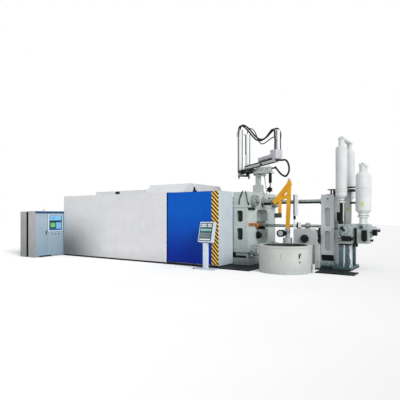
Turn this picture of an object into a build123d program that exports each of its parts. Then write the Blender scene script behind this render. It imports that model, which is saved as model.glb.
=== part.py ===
from build123d import *
import math
import os

# Cold chamber die casting machine with its guard, sprayer, ladler, holding furnace and cabinets.
# Millimetres, +Z up. +X runs from the clamp end to the injection end, -Y is the operator's side.
# The origin is on the floor under the machine axis, at the die face of the stationary platen.

OVERRUN = 20
SEAT = 0.3

# Floor, tray and bed
TRAY_T = 30
TRAY_END_X = 4000
TRAY_FRONT_Y = 1500
TRAY_STEP_Y = 2300
TRAY_STEP_X = 1150
TRAY_NARROW_Y = 790
TRAY_WIDE_X = 2900
TRAY_LIP_Y = 900
TRAY_REAR_Y = 620
BED_TOP = 380
BED_HALF_Y = 1050
BED_MARGIN = 250

# Guard of the clamp end
GUARD_LEN = 7570
GUARD_HALF_Y = 2240
GUARD_TOP = 2490
PANEL_T = 40
PLINTH_T = 90
PLINTH_H = 60
FRAME_SIZE = 80
SEAM_X = 6410
SEAM_W = 12
SEAM_D = 6
DOOR_LEN = 2036
DOOR_T = 40
DOOR_RECESS = 50
DOOR_DROP = 15
DOOR_LIFT = 30
PANEL_GAP = 34
HANGER_GAP = 20
DECK_T = 10
DOOR_TRAVEL = 1700
JAMB_GAP = 8
HANGER_W = 200
HANGER_H = 90
HANGER_INSET = 300
RAIL_W = 30
RAIL_H = 70
PLATEN_SLOT = 40
LOCK_W = 60
LOCK_H = 150

# Covers on the guard
HOOD_END_X = 1900
HOOD_LEN = 1850
HOOD_TOP_Z = 2870
HOOD_TOP_HALF = 1100
HOOD_BASE_HALF = 1500
ROOF_TOP_Z = 2700
ROOF_HALF = 1120
ROOF_INSET_X = 720
ROOF_LEN = 1050
ROOF_GAP_W = 380
FITTING = 110

# Platens and tie bars
PLATEN_T = 530
PLATEN_HALF_Y = 1170
PLATEN_TOP = 2480
PLATEN_FOOT_H = 250
PLATEN_WAIST_Z = 445
PLATEN_INSET = 60
PLATEN_FOOT_OUT = 90
LEDGE_Z = 1960
LEDGE_H = 90
LEDGE_OUT = 40
WINDOW_W = 236
WINDOW_X = 123
WINDOW_D = 200
WINDOW_UP = (1470, 1850)
WINDOW_LOW = (860, 1260)
WINDOW_R = 70
ARCH_HALF = 460
ARCH_Z = (700, 1890)
ARCH_D = 260
ARCH_R = 180
BORE_Z = 1335
BORE_R = 150
TIE_HALF_Y = 850
TIE_Z = (500, 2170)
TIE_R = 100
NUT_R = 190
NUT_T = 210
NUT_RING = 30
MOVING_X = 2400
MOVING_T = 450
MOVING_Z = (400, 2400)
END_PLATEN_X = 5400

# Sprayer on the platen
SPRAY_X = 350
SPRAY_Y = -50
SPRAY_TURN = -39.5
BEAM_SHIFT = -80
PEDESTAL_X = 400
PEDESTAL_HALF = 75
PEDESTAL_TOP = 3170
FLANGE_HALF = 175
FLANGE_T = 40
GUSSET_T = 40
GUSSET_H = 260
GUSSET_OUT = 70
TURN_PLATE_HALF = 200
TURN_BLOCK_HALF = 120
TURN_PLATE_T = 70
TURN_BLOCK_H = 160
BEAM_H = 80
BEAM_RAIL_H = 60
BEAM_RAIL_HALF = 60
BEAM_HALF = 90
BEAM_ENDS = (-820, 1660)
COVER_X = (500, 1430, 1580, 1800)
COVER_Z = (3660, 3790, 3770)
COVER_HALF = 120
POST_X = (1650, 1780)
POST_TOP = 4400
POST_HALF = 45
CARRIAGE_END = -300
CARRIAGE_H = 130
CARRIAGE_HALF = 170
ARM_X = -1000
ARM_SIZE = 100
ARM_W = 165
ARM_GAP = 310
ARM_Z = (3280, 4950)
ARM_DROP = 150
INLET = 105
INLET_Z = (4700, 4860)
HEAD_Z = (3160, 3235)
HEAD_HALF = 235
HEAD_DEPTH = 100
NOZZLE_R = 28
NOZZLE_H = 70
NOZZLE_SHARES = (-0.88, 0.88)
TIE_PLATE_T = 40
SCREW_R = 55
SCREW_Z = (2830, 3100)
WHEEL_R = 110
WHEEL_T = 45
WHEEL_HUB = 35
SCREW_OUT = 510
SHAFT_R = 18
TURN_END = 580
STRUT_R = 16
STRUT_X = (200, 150)
STRUT_Y = (170, 500)

# Hoses of the sprayer, each route as (along the beam, across it, height)
HOSE_R = 28
BRANCH_R = 18
REAR_R = 30
BEND_SHARE = 0.45
HOSE_LEFT = (
    (1700, -170, 3770.3), (1700, -170, 3960), (1710, -166, 4080), (1700, -186, 4200), (1690, -172, 4330),
    (1590, -155, 4445), (1430, -155, 4455), (1270, -190, 4330), (1100, -245, 4215), (900, -300, 4180),
    (660, -330, 4255), (400, -340, 4410), (120, -330, 4600), (-210, -305, 4800), (-560, -275, 4975),
    (-860, -262, 5070), (-1030, -262, 5060), (-1105, -262, 4970), (-1105, -262, 4860.3))
HOSE_RIGHT = (
    (1720, 8, 3770.3), (1720, 8, 3960), (1710, 2, 4080), (1720, 24, 4200), (1705, 18, 4340),
    (1600, -8, 4480), (1440, -62, 4495), (1270, -118, 4375), (1100, -175, 4265), (900, -230, 4225),
    (660, -262, 4300), (400, -272, 4455), (130, -262, 4640), (-190, -238, 4830), (-540, -208, 5000),
    (-850, -192, 5105), (-1035, -192, 5095), (-1110, -192, 4985), (-1110, -192, 4860.3))
HOSE_BRANCH = (
    (1649.7, -80, 4230), (1500, -80, 4230), (1300, -130, 4195), (1090, -172, 4115), (860, -200, 4085),
    (640, -190, 4160), (420, -150, 4320), (170, -100, 4500), (-90, -35, 4690), (-390, 25, 4850),
    (-680, 58, 4950), (-880, 65, 4985), (-1000, 65, 4925), (-1000, 65, 4800.3))
HOSE_REAR = (
    (1660.3, -80, 3440), (1800, -80, 3440), (1970, -80, 3400), (2140, -80, 3405), (2290, -80, 3350),
    (2405, -88, 3240), (2475, -98, 3100), (2470, -112, 2975), (2365, -122, 2895), (2235, -75, 2880),
    (2060, -55, 2906), (1753, 21, 2990), (1451, 95, 3112), (1152, 171, 3245), (900, 240, 3330),
    (732, 370, 3350), (589, 433, 3345), (490, 404, 3342), (421.5, 347.5, 3342))

# Holding furnace
FURNACE_X = 2050
FURNACE_Y = -1640
FURNACE_R = 800
FURNACE_H = 800
FURNACE_RIM_T = 45
FURNACE_RIM_OUT = 15
FURNACE_WALL = 150
FURNACE_DEPTH = 420
LATCH = 90
LATCH_TURN = -75

# Ladler
LADLER_X = 1700
LADLER_Y = -560
LADLER_BASE_R = 150
LADLER_BASE_TOP = 950
LADLER_NECK_R = 75
LADLER_FOOT_R = 200
LADLER_FOOT_T = 50
LADLER_PIVOT_Z = 1220
LADLER_TOP_Z = 2780
LADLER_ARM = 120
LADLER_ARM_T = 80
PIN_R = 35
BOSS_X = -430
BOSS_Z = 2140
ELBOW_Z = 2370
LADLE_PIVOT_X = -270
LADLE_PIVOT_Z = 1760
LADLE_R = 120
LADLE_H = 150
LADLE_WALL = 15
DRIVE_R = 120
DRIVE_L = 210
DRIVE_SHIFT = 150
DRIVE_DROP = 120
LADLER_CHEEK = 40
ARM_LEAN = 60
PROBE_X = (215, 345)
PROBE_Y = -560
PROBE_HALF = 60
PROBE_Z = (1680, 2370)

# Shot end
COLUMN_X = 2745
COLUMN_T = 405
COLUMN_HALF = 370
COLUMN_TOP = 2350
COLUMN_FOOT_OUT = 40
RECESS_Z = (250, 320)
RECESS_D = 60
POCKET_W = 170
POCKET_UP = (1335, 1930)
POCKET_LOW = (580, 1195)
POCKET_D = 120
POCKET_R = 60
ROD_Z = 2150
ROD_R = 68
ROD_SLEEVE_R = 105
ROD_SLEEVE_L = 330
ROD_FLANGE_R = 185
ROD_FLANGE_T = 60
COLLAR_R = 115
COLLAR_L = 90
PLUNGER_R = 50
PLUNGER_X = 700
COUPLING_R = 105
COUPLING_L = 130
COUPLING_X = 2130
SHROUD_X = (1960, 2690)
SHROUD_Z = (760, 1260)
SHROUD_Y = (-680, -180)
SHROUD_T = 25
SHROUD_R = 260
SHROUD_WHEEL_R = 125
LUBE_X = (2420, 2735)
LUBE_Z = (260, 760)
LUBE_Y = (-620, -380)
MANIFOLD_X = (3320, 3870)
MANIFOLD_Z = (820, 1420)
MANIFOLD_HALF = 550
CYLINDER_R = 190
FLANGE_IN = 210
FLANGE_R = 165
FLANGE_OUT = 70
CARTRIDGE_X = (110, 390)
CARTRIDGE_Z = (90, 240)
SIDE_VALVE_X = (140, 290)
END_VALVE_Z = 1270
END_VALVE_L = 170
END_VALVE_R = 90
VALVE_X = 4200
VALVE_Z = (845, 1420)
VALVE_Y = (-550, -60)
LEG_X = 3330
LEG_W = 110
LEG_GAP = 180
RUNNER_H = 70
FOOT_END_X = 3700
ACC_R = 172
ACC_X = 3410
ACC_Y = 505
ACC_Z = (2200, 3830)
ACC_NECK_R = 80
ACC_NECK_H = 130
ACC_PIPE_R = 45
ACC_HEAD_R = 85
ACC_HEAD_H = 190
SHORT_R = 188
SHORT_X = 4010
SHORT_Y = (-480, -90)
SHORT_Z = (1750, 2985)
SLIM_R = 118
SLIM_X = 3510
SLIM_Y = -150
SLIM_TOP = 2500
SEAM_RING = 12
DOME_SHARE = 0.55
CLAMP_Z = 2420
CLAMP_H = 60

# Cabinets and console
CAB_CLEAR = 70
CAB_Y = -3540
CAB_W = 1380
CAB_D = 470
CAB_H = 1860
CAB_WALL = 30
CAB_PLINTH = 60
CAB_BAND_H = 95
CAB_DOOR_W = 552
CAB_GAP = 4
CAB_DOOR_T = 24
CAB_BACK_GAP = 130
CAB_BACK_D = 415
HANDLE_H = 160
HANDLE_W = 36
HANDLE_T = 30
HMI_Z = (1110, 1690)
HMI_MARGIN = 70
HMI_T = 12
HINGE_R = 10
HINGE_H = 80
CONSOLE_X = -170
CONSOLE_Y = -2640
CONSOLE_FOOT = (760, 300, 40)
CONSOLE_POST = 130
CONSOLE_SPLIT = 830
CONSOLE_TILT = 14
CONSOLE_BOX = (520, 130, 640)
CONSOLE_FACE_T = 8
CONSOLE_BORDER = 30

os.makedirs("parts", exist_ok=True)


def keep(name, piece):
    """Label a finished piece and write it under its own name."""
    piece.part.label = name
    export_step(piece.part, f"parts/{name}.step")


def block(x, y, z, mode=Mode.ADD):
    """A square block between two limits on each axis."""
    with Locations(((x[0] + x[1]) / 2, (y[0] + y[1]) / 2, (z[0] + z[1]) / 2)):
        Box(abs(x[1] - x[0]), abs(y[1] - y[0]), abs(z[1] - z[0]), mode=mode)


def about(middle, half):
    """Limits at an equal distance on both sides of a middle."""
    return (middle - half, middle + half)


def rod(start, end, radius, mode=Mode.ADD):
    """A round bar between two points."""
    along = Vector(*end) - Vector(*start)
    with BuildSketch(Plane(origin=start, z_dir=along)) as section:
        Circle(radius)
    extrude(section.sketch, amount=along.length, mode=mode)


def pocket(x, z, depth, radius, face_y):
    """Rounded pockets sunk from both sides of a casting, each seen along the Y axis."""
    middle = Plane(origin=((x[0] + x[1]) / 2, 0, (z[0] + z[1]) / 2), z_dir=(0, 1, 0), x_dir=(1, 0, 0))
    for side in (-1, 1):
        with BuildSketch(middle.offset(side * (face_y - depth))) as mouth:
            RectangleRounded(x[1] - x[0], z[1] - z[0], radius)
        extrude(mouth.sketch, amount=side * (depth + OVERRUN), mode=Mode.SUBTRACT)


# Floor tray, a dark welded steel pan under the whole machine, with a wide lip at the operator's shot end.
with BuildPart() as floor_tray:
    block((-GUARD_LEN + PLINTH_T + FRAME_SIZE, 0), (-TRAY_FRONT_Y, TRAY_FRONT_Y), (0, TRAY_T))
    block((0, TRAY_STEP_X), (-TRAY_STEP_Y, TRAY_FRONT_Y), (0, TRAY_T))
    block((TRAY_STEP_X, TRAY_WIDE_X), (-TRAY_NARROW_Y, TRAY_REAR_Y), (0, TRAY_T))
    block((TRAY_WIDE_X, FOOT_END_X), (-TRAY_LIP_Y, TRAY_REAR_Y), (0, TRAY_T))
    block((TRAY_WIDE_X, TRAY_END_X), (-TRAY_FRONT_Y, -TRAY_LIP_Y), (0, TRAY_T))
keep("floor_tray", floor_tray)

# Machine bed of the clamp end, on which the moving platen slides.
with BuildPart() as machine_bed:
    block((-GUARD_LEN + BED_MARGIN, 0), about(0, BED_HALF_Y), (TRAY_T, BED_TOP))
keep("machine_bed", machine_bed)

# Guard: a frame of square tube, with sheet panels hung on it and a steel plinth under the panels.
door_front = GUARD_HALF_Y - DOOR_RECESS
door_back = door_front - DOOR_T
frame_out = door_back - HANGER_GAP
frame_in = frame_out - FRAME_SIZE
panel_in = GUARD_HALF_Y - PANEL_T
deck_bottom = GUARD_TOP - DECK_T
beam_bottom = deck_bottom - FRAME_SIZE
left_in = -GUARD_LEN + PANEL_T
mid_post = -DOOR_LEN - DOOR_TRAVEL - HANGER_INSET / 2
roof_start = -GUARD_LEN + ROOF_INSET_X
roof_gap = roof_start + ROOF_LEN

with BuildPart() as guard_plinth:
    plinth_out = GUARD_HALF_Y - PANEL_T / 4
    plinth_in = plinth_out - PLINTH_T
    plinth_end = -GUARD_LEN + PANEL_T / 4
    for side in (-1, 1):
        block((plinth_end, 0), (side * plinth_out, side * plinth_in), (0, PLINTH_H))
        block((-PANEL_T, 0), (side * plinth_in, side * TRAY_FRONT_Y), (0, PLINTH_H))
    block((plinth_end, left_in), about(0, plinth_in), (0, PLINTH_H))
keep("guard_plinth", guard_plinth)

with BuildPart() as guard_frame:
    for side in (-1, 1):
        for post_x in (left_in, mid_post, -PANEL_T - FRAME_SIZE):
            block((post_x, post_x + FRAME_SIZE), (side * frame_out, side * frame_in), (0, beam_bottom))
        block((left_in, -PANEL_T), (side * frame_out, side * frame_in), (beam_bottom, deck_bottom))
    for beam_x in (left_in, roof_gap, mid_post, -HOOD_END_X - FRAME_SIZE):
        block((beam_x, beam_x + FRAME_SIZE), (-frame_in, frame_in), (beam_bottom, deck_bottom))
keep("guard_frame", guard_frame)

with BuildPart() as door_rails:
    for side in (-1, 1):
        rail_y = (side * frame_out, side * (frame_out - RAIL_W))
        block((mid_post + FRAME_SIZE, -PANEL_T - FRAME_SIZE), rail_y, (beam_bottom - RAIL_H, beam_bottom))
keep("door_rails", door_rails)

# Grey sheet panels: front and rear with one seam each, the left end, and the two narrow walls at the platen.
with BuildPart() as guard_panels:
    for side in (-1, 1):
        panel_y = (side * GUARD_HALF_Y, side * panel_in)
        seam_y = (side * (GUARD_HALF_Y - SEAM_D), side * (GUARD_HALF_Y + OVERRUN))
        block((-GUARD_LEN, -DOOR_LEN - PANEL_GAP), panel_y, (PLINTH_H, GUARD_TOP))
        block((-SEAM_X, -SEAM_X + SEAM_W), seam_y, (PLINTH_H - OVERRUN, GUARD_TOP + OVERRUN),
              mode=Mode.SUBTRACT)
    block((-GUARD_LEN, left_in), (-panel_in, panel_in), (PLINTH_H, GUARD_TOP))
keep("guard_panels", guard_panels)

with BuildPart() as end_walls:
    for side in (-1, 1):
        block((-PANEL_T, 0), (side * (door_back - JAMB_GAP), side * (PLATEN_HALF_Y + PLATEN_SLOT)),
              (PLINTH_H, GUARD_TOP))
keep("end_walls", end_walls)

# Blue sliding doors, hung on the rails by two plates each. The rear one repeats the operator's.
for side, place in ((-1, "front"), (1, "rear")):
    door_z = (PLINTH_H + DOOR_LIFT, GUARD_TOP - DOOR_DROP)
    hanger_y = (side * door_back, side * (frame_out + SEAT))
    hanger_z = beam_bottom - RAIL_H - DOOR_DROP
    with BuildPart() as door:
        block((-DOOR_LEN, 0), (side * door_front, side * door_back), door_z)
        for hanger_x in (-DOOR_LEN + HANGER_INSET, -HANGER_INSET):
            block(about(hanger_x, HANGER_W / 2), hanger_y, (hanger_z, hanger_z + HANGER_H))
    keep(f"safety_door_{place}", door)

# Raised hood of folded sheet over the moving platen, with both long sides sloped.
with BuildPart() as raised_hood:
    with BuildSketch(Plane.YZ.offset(-HOOD_END_X - HOOD_LEN)):
        with BuildLine():
            Polyline((-HOOD_BASE_HALF, GUARD_TOP), (-HOOD_TOP_HALF, HOOD_TOP_Z),
                     (HOOD_TOP_HALF, HOOD_TOP_Z), (HOOD_BASE_HALF, GUARD_TOP), close=True)
        make_face()
    extrude(amount=HOOD_LEN)
keep("raised_hood", raised_hood)

# Flat roof deck with two low covers.
with BuildPart() as roof_covers:
    block((left_in, -HOOD_END_X), (-panel_in, panel_in), (deck_bottom, GUARD_TOP))
    block((roof_gap + ROOF_GAP_W, -HOOD_END_X - HOOD_LEN), (-ROOF_HALF, ROOF_HALF), (GUARD_TOP, ROOF_TOP_Z))
    block((roof_start, roof_gap), (-ROOF_HALF, ROOF_HALF), (GUARD_TOP, ROOF_TOP_Z))
keep("roof_covers", roof_covers)

# Black pipe fittings between the two low covers.
with BuildPart() as roof_fittings:
    fit_y = -ROOF_HALF + FITTING
    for step in (1, 2, 3):
        fit_x = roof_gap + ROOF_GAP_W * step / 4
        rod((fit_x, fit_y, GUARD_TOP), (fit_x, fit_y, ROOF_TOP_Z), FITTING * 3 / 8)
    block((roof_gap, roof_gap + ROOF_GAP_W), about(fit_y, FITTING / 2), (GUARD_TOP, GUARD_TOP + FITTING / 2))
keep("roof_fittings", roof_fittings)

# Door lock bracket on the top beam, beside the middle of the operator's door.
with BuildPart() as lock_bracket:
    lock_x = -DOOR_LEN / 2 + LOCK_W
    block(about(lock_x, LOCK_W), (-frame_out, -frame_in), (deck_bottom, deck_bottom + LOCK_H / 3))
    block(about(lock_x, LOCK_W / 2), (-frame_out, -frame_out + LOCK_W / 2),
          (deck_bottom, deck_bottom + LOCK_H))
keep("lock_bracket", lock_bracket)

# Stationary platen, a grey-green casting: side windows, a ledge, a waisted foot and an arch for the shot.
with BuildPart() as stationary_platen:
    ledge_half = PLATEN_HALF_Y + LEDGE_OUT / 2
    block((0, PLATEN_T), about(0, PLATEN_HALF_Y), (PLATEN_WAIST_Z, PLATEN_TOP))
    block((PLATEN_INSET, PLATEN_T - PLATEN_INSET), about(0, PLATEN_HALF_Y - PLATEN_INSET),
          (PLATEN_FOOT_H, PLATEN_WAIST_Z))
    block((0, PLATEN_T + PLATEN_FOOT_OUT), about(0, ledge_half), (TRAY_T, PLATEN_FOOT_H))
    block((0, PLATEN_T + LEDGE_OUT), about(0, ledge_half), (LEDGE_Z, LEDGE_Z + LEDGE_H))
    block((PLATEN_T, PLATEN_T + LEDGE_OUT), about(0, PLATEN_HALF_Y), (LEDGE_Z + LEDGE_H, PLATEN_TOP))
    for window_z in (WINDOW_LOW, WINDOW_UP):
        pocket((WINDOW_X, WINDOW_X + WINDOW_W), window_z, WINDOW_D, WINDOW_R, PLATEN_HALF_Y)
    with BuildSketch(Plane.YZ.offset(PLATEN_T - ARCH_D)) as arch:
        with Locations((0, (ARCH_Z[0] + ARCH_Z[1]) / 2)):
            RectangleRounded(2 * ARCH_HALF, ARCH_Z[1] - ARCH_Z[0], ARCH_R)
    extrude(arch.sketch, amount=ARCH_D + OVERRUN, mode=Mode.SUBTRACT)
    rod((-OVERRUN, 0, BORE_Z), (PLATEN_T, 0, BORE_Z), BORE_R, mode=Mode.SUBTRACT)
    for tie_y in (-TIE_HALF_Y, TIE_HALF_Y):
        for tie_z in TIE_Z:
            rod((-OVERRUN, tie_y, tie_z), (PLATEN_T + OVERRUN * 3, tie_y, tie_z), TIE_R + SEAT,
                mode=Mode.SUBTRACT)
keep("stationary_platen", stationary_platen)

# Moving platen on its two shoes, with the tie bars running free through it.
with BuildPart() as moving_platen:
    block((-MOVING_X, -MOVING_X + MOVING_T), about(0, PLATEN_HALF_Y - LEDGE_OUT), MOVING_Z)
    for side in (-1, 1):
        block((-MOVING_X, -MOVING_X + MOVING_T), (side * BED_HALF_Y, side * (BED_HALF_Y - MOVING_T)),
              (BED_TOP, MOVING_Z[0]))
    for tie_y in (-TIE_HALF_Y, TIE_HALF_Y):
        for tie_z in TIE_Z:
            rod((-MOVING_X - OVERRUN, tie_y, tie_z), (-MOVING_X + MOVING_T + OVERRUN, tie_y, tie_z),
                TIE_R + SEAT, mode=Mode.SUBTRACT)
keep("moving_platen", moving_platen)

# End platen at the far end of the tie bars.
with BuildPart() as end_platen:
    block((-END_PLATEN_X, -END_PLATEN_X + MOVING_T), about(0, PLATEN_HALF_Y - LEDGE_OUT),
          (BED_TOP, MOVING_Z[1]))
    for tie_y in (-TIE_HALF_Y, TIE_HALF_Y):
        for tie_z in TIE_Z:
            rod((-END_PLATEN_X - OVERRUN, tie_y, tie_z), (-END_PLATEN_X + MOVING_T + OVERRUN, tie_y, tie_z),
                TIE_R + SEAT, mode=Mode.SUBTRACT)
keep("end_platen", end_platen)

# Four chromed tie bars, each with a flanged nut on the injection side of the stationary platen.
with BuildPart() as tie_bars:
    for tie_y in (-TIE_HALF_Y, TIE_HALF_Y):
        for tie_z in TIE_Z:
            rod((-END_PLATEN_X, tie_y, tie_z), (PLATEN_T + NUT_T + NUT_RING, tie_y, tie_z), TIE_R)
keep("tie_bars", tie_bars)

with BuildPart() as tie_bar_nuts:
    for tie_y in (-TIE_HALF_Y, TIE_HALF_Y):
        for tie_z, face_x in zip(TIE_Z, (PLATEN_T, PLATEN_T + LEDGE_OUT)):
            rod((face_x, tie_y, tie_z), (PLATEN_T + NUT_T, tie_y, tie_z), NUT_R)
            rod((face_x - OVERRUN, tie_y, tie_z), (PLATEN_T + NUT_T + OVERRUN, tie_y, tie_z), TIE_R + SEAT,
                mode=Mode.SUBTRACT)
keep("tie_bar_nuts", tie_bar_nuts)

# Sprayer pedestal: a square steel column on a flange with gussets, on top of the stationary platen.
plate_top = PEDESTAL_TOP + TURN_PLATE_T
beam_bottom_z = plate_top + TURN_BLOCK_H
with BuildPart() as sprayer_pedestal:
    block(about(PEDESTAL_X, FLANGE_HALF), about(SPRAY_Y, FLANGE_HALF), (PLATEN_TOP, PLATEN_TOP + FLANGE_T))
    block(about(PEDESTAL_X, PEDESTAL_HALF), about(SPRAY_Y, PEDESTAL_HALF), (PLATEN_TOP, PEDESTAL_TOP))
    gusset_x = about(PEDESTAL_X, FLANGE_HALF)
    slope_x = about(PEDESTAL_X, FLANGE_HALF - GUSSET_OUT / 2)
    gusset_z = (PLATEN_TOP + GUSSET_H, PLATEN_TOP + GUSSET_H + GUSSET_OUT / 2)
    for side in (-1, 1):
        gusset_y = SPRAY_Y + side * (PEDESTAL_HALF - GUSSET_T)
        with BuildSketch(Plane.XZ.offset(-gusset_y)) as gusset:
            with BuildLine():
                Polyline((gusset_x[0], PLATEN_TOP), (gusset_x[1], PLATEN_TOP), (gusset_x[1], gusset_z[0]),
                         (slope_x[1], gusset_z[1]), (slope_x[0], gusset_z[1]), (gusset_x[0], gusset_z[0]),
                         close=True)
            make_face()
        extrude(gusset.sketch, amount=-side * GUSSET_T)
    turn_x = PEDESTAL_X - PEDESTAL_HALF
    turn_end = SPRAY_X + TURN_END
    block((turn_x, turn_end), about(SPRAY_Y, TURN_PLATE_HALF), (PEDESTAL_TOP, plate_top))
    block((turn_x + TURN_PLATE_T / 2, turn_end - TURN_PLATE_T / 2), about(SPRAY_Y, TURN_BLOCK_HALF),
          (plate_top, beam_bottom_z))
    strut_foot = (SPRAY_X + STRUT_X[1], SPRAY_Y + STRUT_Y[1], PLATEN_TOP)
    rod((SPRAY_X + STRUT_X[0], SPRAY_Y + STRUT_Y[0], PEDESTAL_TOP),
        (strut_foot[0], strut_foot[1], PLATEN_TOP + STRUT_R * 3 / 4), STRUT_R)
    rod(strut_foot, (strut_foot[0], strut_foot[1], PLATEN_TOP + STRUT_R), STRUT_R * 2)
keep("sprayer_pedestal", sprayer_pedestal)

# Clamp screw under the outer end of the turning plate: cylinder, shaft and a black star wheel.
with BuildPart() as clamp_screw:
    screw_x = SPRAY_X + SCREW_OUT
    wheel_z = PLATEN_TOP + WHEEL_R
    rod((screw_x, SPRAY_Y, PEDESTAL_TOP), (screw_x, SPRAY_Y, SCREW_Z[0]), SCREW_R)
    rod((screw_x, SPRAY_Y, SCREW_Z[0]), (screw_x, SPRAY_Y, wheel_z), SHAFT_R)
    rod((screw_x, SPRAY_Y - WHEEL_HUB, wheel_z), (screw_x, SPRAY_Y + WHEEL_HUB, wheel_z), WHEEL_HUB)
    wheel_face = Plane(origin=(screw_x, SPRAY_Y - WHEEL_HUB, wheel_z), z_dir=(0, -1, 0))
    with BuildSketch(wheel_face) as wheel_outline:
        Circle(WHEEL_R * 3 / 4)
        with PolarLocations(WHEEL_R * 3 / 4, 6):
            Circle(WHEEL_R / 4)
    extrude(wheel_outline.sketch, amount=WHEEL_T)
keep("clamp_screw", clamp_screw)

# Sprayer beam, turned about the pedestal: an aluminium box with a black rail on top, covers and carriage.
turned = Plane(origin=(SPRAY_X, SPRAY_Y, 0), x_dir=(math.cos(math.radians(SPRAY_TURN)),
                                                   math.sin(math.radians(SPRAY_TURN)), 0), z_dir=(0, 0, 1))
beam_top = beam_bottom_z + BEAM_H
rail_top = beam_top + BEAM_RAIL_H


def across(half):
    """Limits across the beam, about its middle line."""
    return about(BEAM_SHIFT, half)


with BuildPart(turned) as sprayer_beam:
    block(BEAM_ENDS, across(BEAM_HALF), (beam_bottom_z, beam_top))
keep("sprayer_beam", sprayer_beam)

with BuildPart(turned) as sprayer_rail:
    block((BEAM_ENDS[0], COVER_X[2]), across(BEAM_RAIL_HALF), (beam_top, rail_top))
keep("sprayer_rail", sprayer_rail)

with BuildPart(turned) as sprayer_cover:
    block((COVER_X[0], COVER_X[1]), across(COVER_HALF), (rail_top, COVER_Z[0]))
    block((COVER_X[1], COVER_X[2]), across(COVER_HALF), (rail_top, COVER_Z[1]))
    block((COVER_X[2], COVER_X[3]), across(COVER_HALF), (beam_top, COVER_Z[2]))
keep("sprayer_cover", sprayer_cover)

with BuildPart(turned) as hose_post:
    block(POST_X, across(POST_HALF), (COVER_Z[2], POST_TOP))
keep("hose_post", hose_post)

carriage_start = ARM_X + ARM_SIZE / 2 + SEAT
with BuildPart(turned) as sprayer_carriage:
    block((carriage_start, CARRIAGE_END), across(CARRIAGE_HALF), (beam_bottom_z - CARRIAGE_H, beam_bottom_z))
keep("sprayer_carriage", sprayer_carriage)

# Lifting arm: two aluminium columns side by side, joined by the spray head below and a yoke above.
with BuildPart(turned) as spray_arm:
    arm_x = about(ARM_X, ARM_SIZE / 2)
    for side, arm_top in ((-1, ARM_Z[1]), (1, ARM_Z[1] - ARM_DROP)):
        block(arm_x, about(BEAM_SHIFT + side * ARM_GAP / 2, ARM_W / 2), (ARM_Z[0], arm_top))
    for yoke_z in (ARM_Z[0], ARM_Z[1] - ARM_DROP - TIE_PLATE_T):
        block(arm_x, across(ARM_GAP / 2), (yoke_z, yoke_z + TIE_PLATE_T))
    block((arm_x[0] - INLET, arm_x[0]), about(BEAM_SHIFT - ARM_GAP / 2, ARM_W / 2), INLET_Z)
keep("spray_arm", spray_arm)

with BuildPart(turned) as spray_head:
    for side in (-1, 1):
        block(arm_x, about(BEAM_SHIFT + side * ARM_GAP / 2, ARM_W / 3), (HEAD_Z[1], ARM_Z[0]))
    block(about(ARM_X, HEAD_DEPTH / 2), across(HEAD_HALF), HEAD_Z)
    for share in NOZZLE_SHARES:
        tip = turned.from_local_coords(Vector(ARM_X, BEAM_SHIFT + share * HEAD_HALF, HEAD_Z[0]))
        rod(tuple(tip), (tip.X, tip.Y, tip.Z - NOZZLE_H), NOZZLE_R)
keep("spray_head", spray_head)


def hose(name, route, radius):
    """A hose along straight runs joined by tangent arcs, each bend as wide as its two runs allow."""
    points = [turned.from_local_coords(Vector(*place)) for place in route]
    bends = []
    for before, corner, after in zip(points, points[1:], points[2:]):
        turn = math.radians((corner - before).get_angle(after - corner))
        shorter = min((corner - before).length, (after - corner).length)
        bends.append(BEND_SHARE * shorter / math.tan(turn / 2))
    with BuildLine():
        run = FilletPolyline(*points, radius=bends)
    with BuildSketch(Plane(origin=run @ 0, z_dir=run % 0)) as section:
        Circle(radius)
    tube = sweep(section.sketch, path=run)
    print(name, "radii", [round(bend) for bend in bends], "length", round(run.length), "volume share",
          round(tube.volume / (math.pi * radius ** 2 * run.length), 4))


# Black hoses of the sprayer: two from the end cover over the post to the tall column, one branch to the
# short column, and one loop from the beam's end back to the turning block.
with BuildPart() as upper_hoses:
    hose("left hose", HOSE_LEFT, HOSE_R)
    hose("right hose", HOSE_RIGHT, HOSE_R)
    hose("branch hose", HOSE_BRANCH, BRANCH_R)
keep("upper_hoses", upper_hoses)

with BuildPart() as rear_hose:
    hose("rear hose", HOSE_REAR, REAR_R)
keep("rear_hose", rear_hose)

# Holding furnace: a round steel shell with a rim and a refractory bath, on the floor at the operator's side.
with BuildPart() as furnace:
    rim_z = FURNACE_H - FURNACE_RIM_T
    shell_r = FURNACE_R - FURNACE_RIM_OUT
    rod((FURNACE_X, FURNACE_Y, 0), (FURNACE_X, FURNACE_Y, rim_z), shell_r)
    rod((FURNACE_X, FURNACE_Y, rim_z), (FURNACE_X, FURNACE_Y, FURNACE_H), FURNACE_R)
    rod((FURNACE_X, FURNACE_Y, FURNACE_H - FURNACE_DEPTH), (FURNACE_X, FURNACE_Y, FURNACE_H + OVERRUN),
        FURNACE_R - FURNACE_WALL, mode=Mode.SUBTRACT)
    latch_cos = math.cos(math.radians(LATCH_TURN))
    latch_sin = math.sin(math.radians(LATCH_TURN))
    latch_out = shell_r - LATCH / 20
    latch_at = (FURNACE_X + latch_out * latch_cos, FURNACE_Y + latch_out * latch_sin, FURNACE_H - LATCH * 3)
    latch_plane = Plane(origin=latch_at, z_dir=(latch_cos, latch_sin, 0), x_dir=(-latch_sin, latch_cos, 0))
    with BuildSketch(latch_plane) as latch_plate:
        Rectangle(LATCH / 2, LATCH * 3 / 2)
    extrude(latch_plate.sketch, amount=LATCH / 4)
keep("furnace", furnace)

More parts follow.
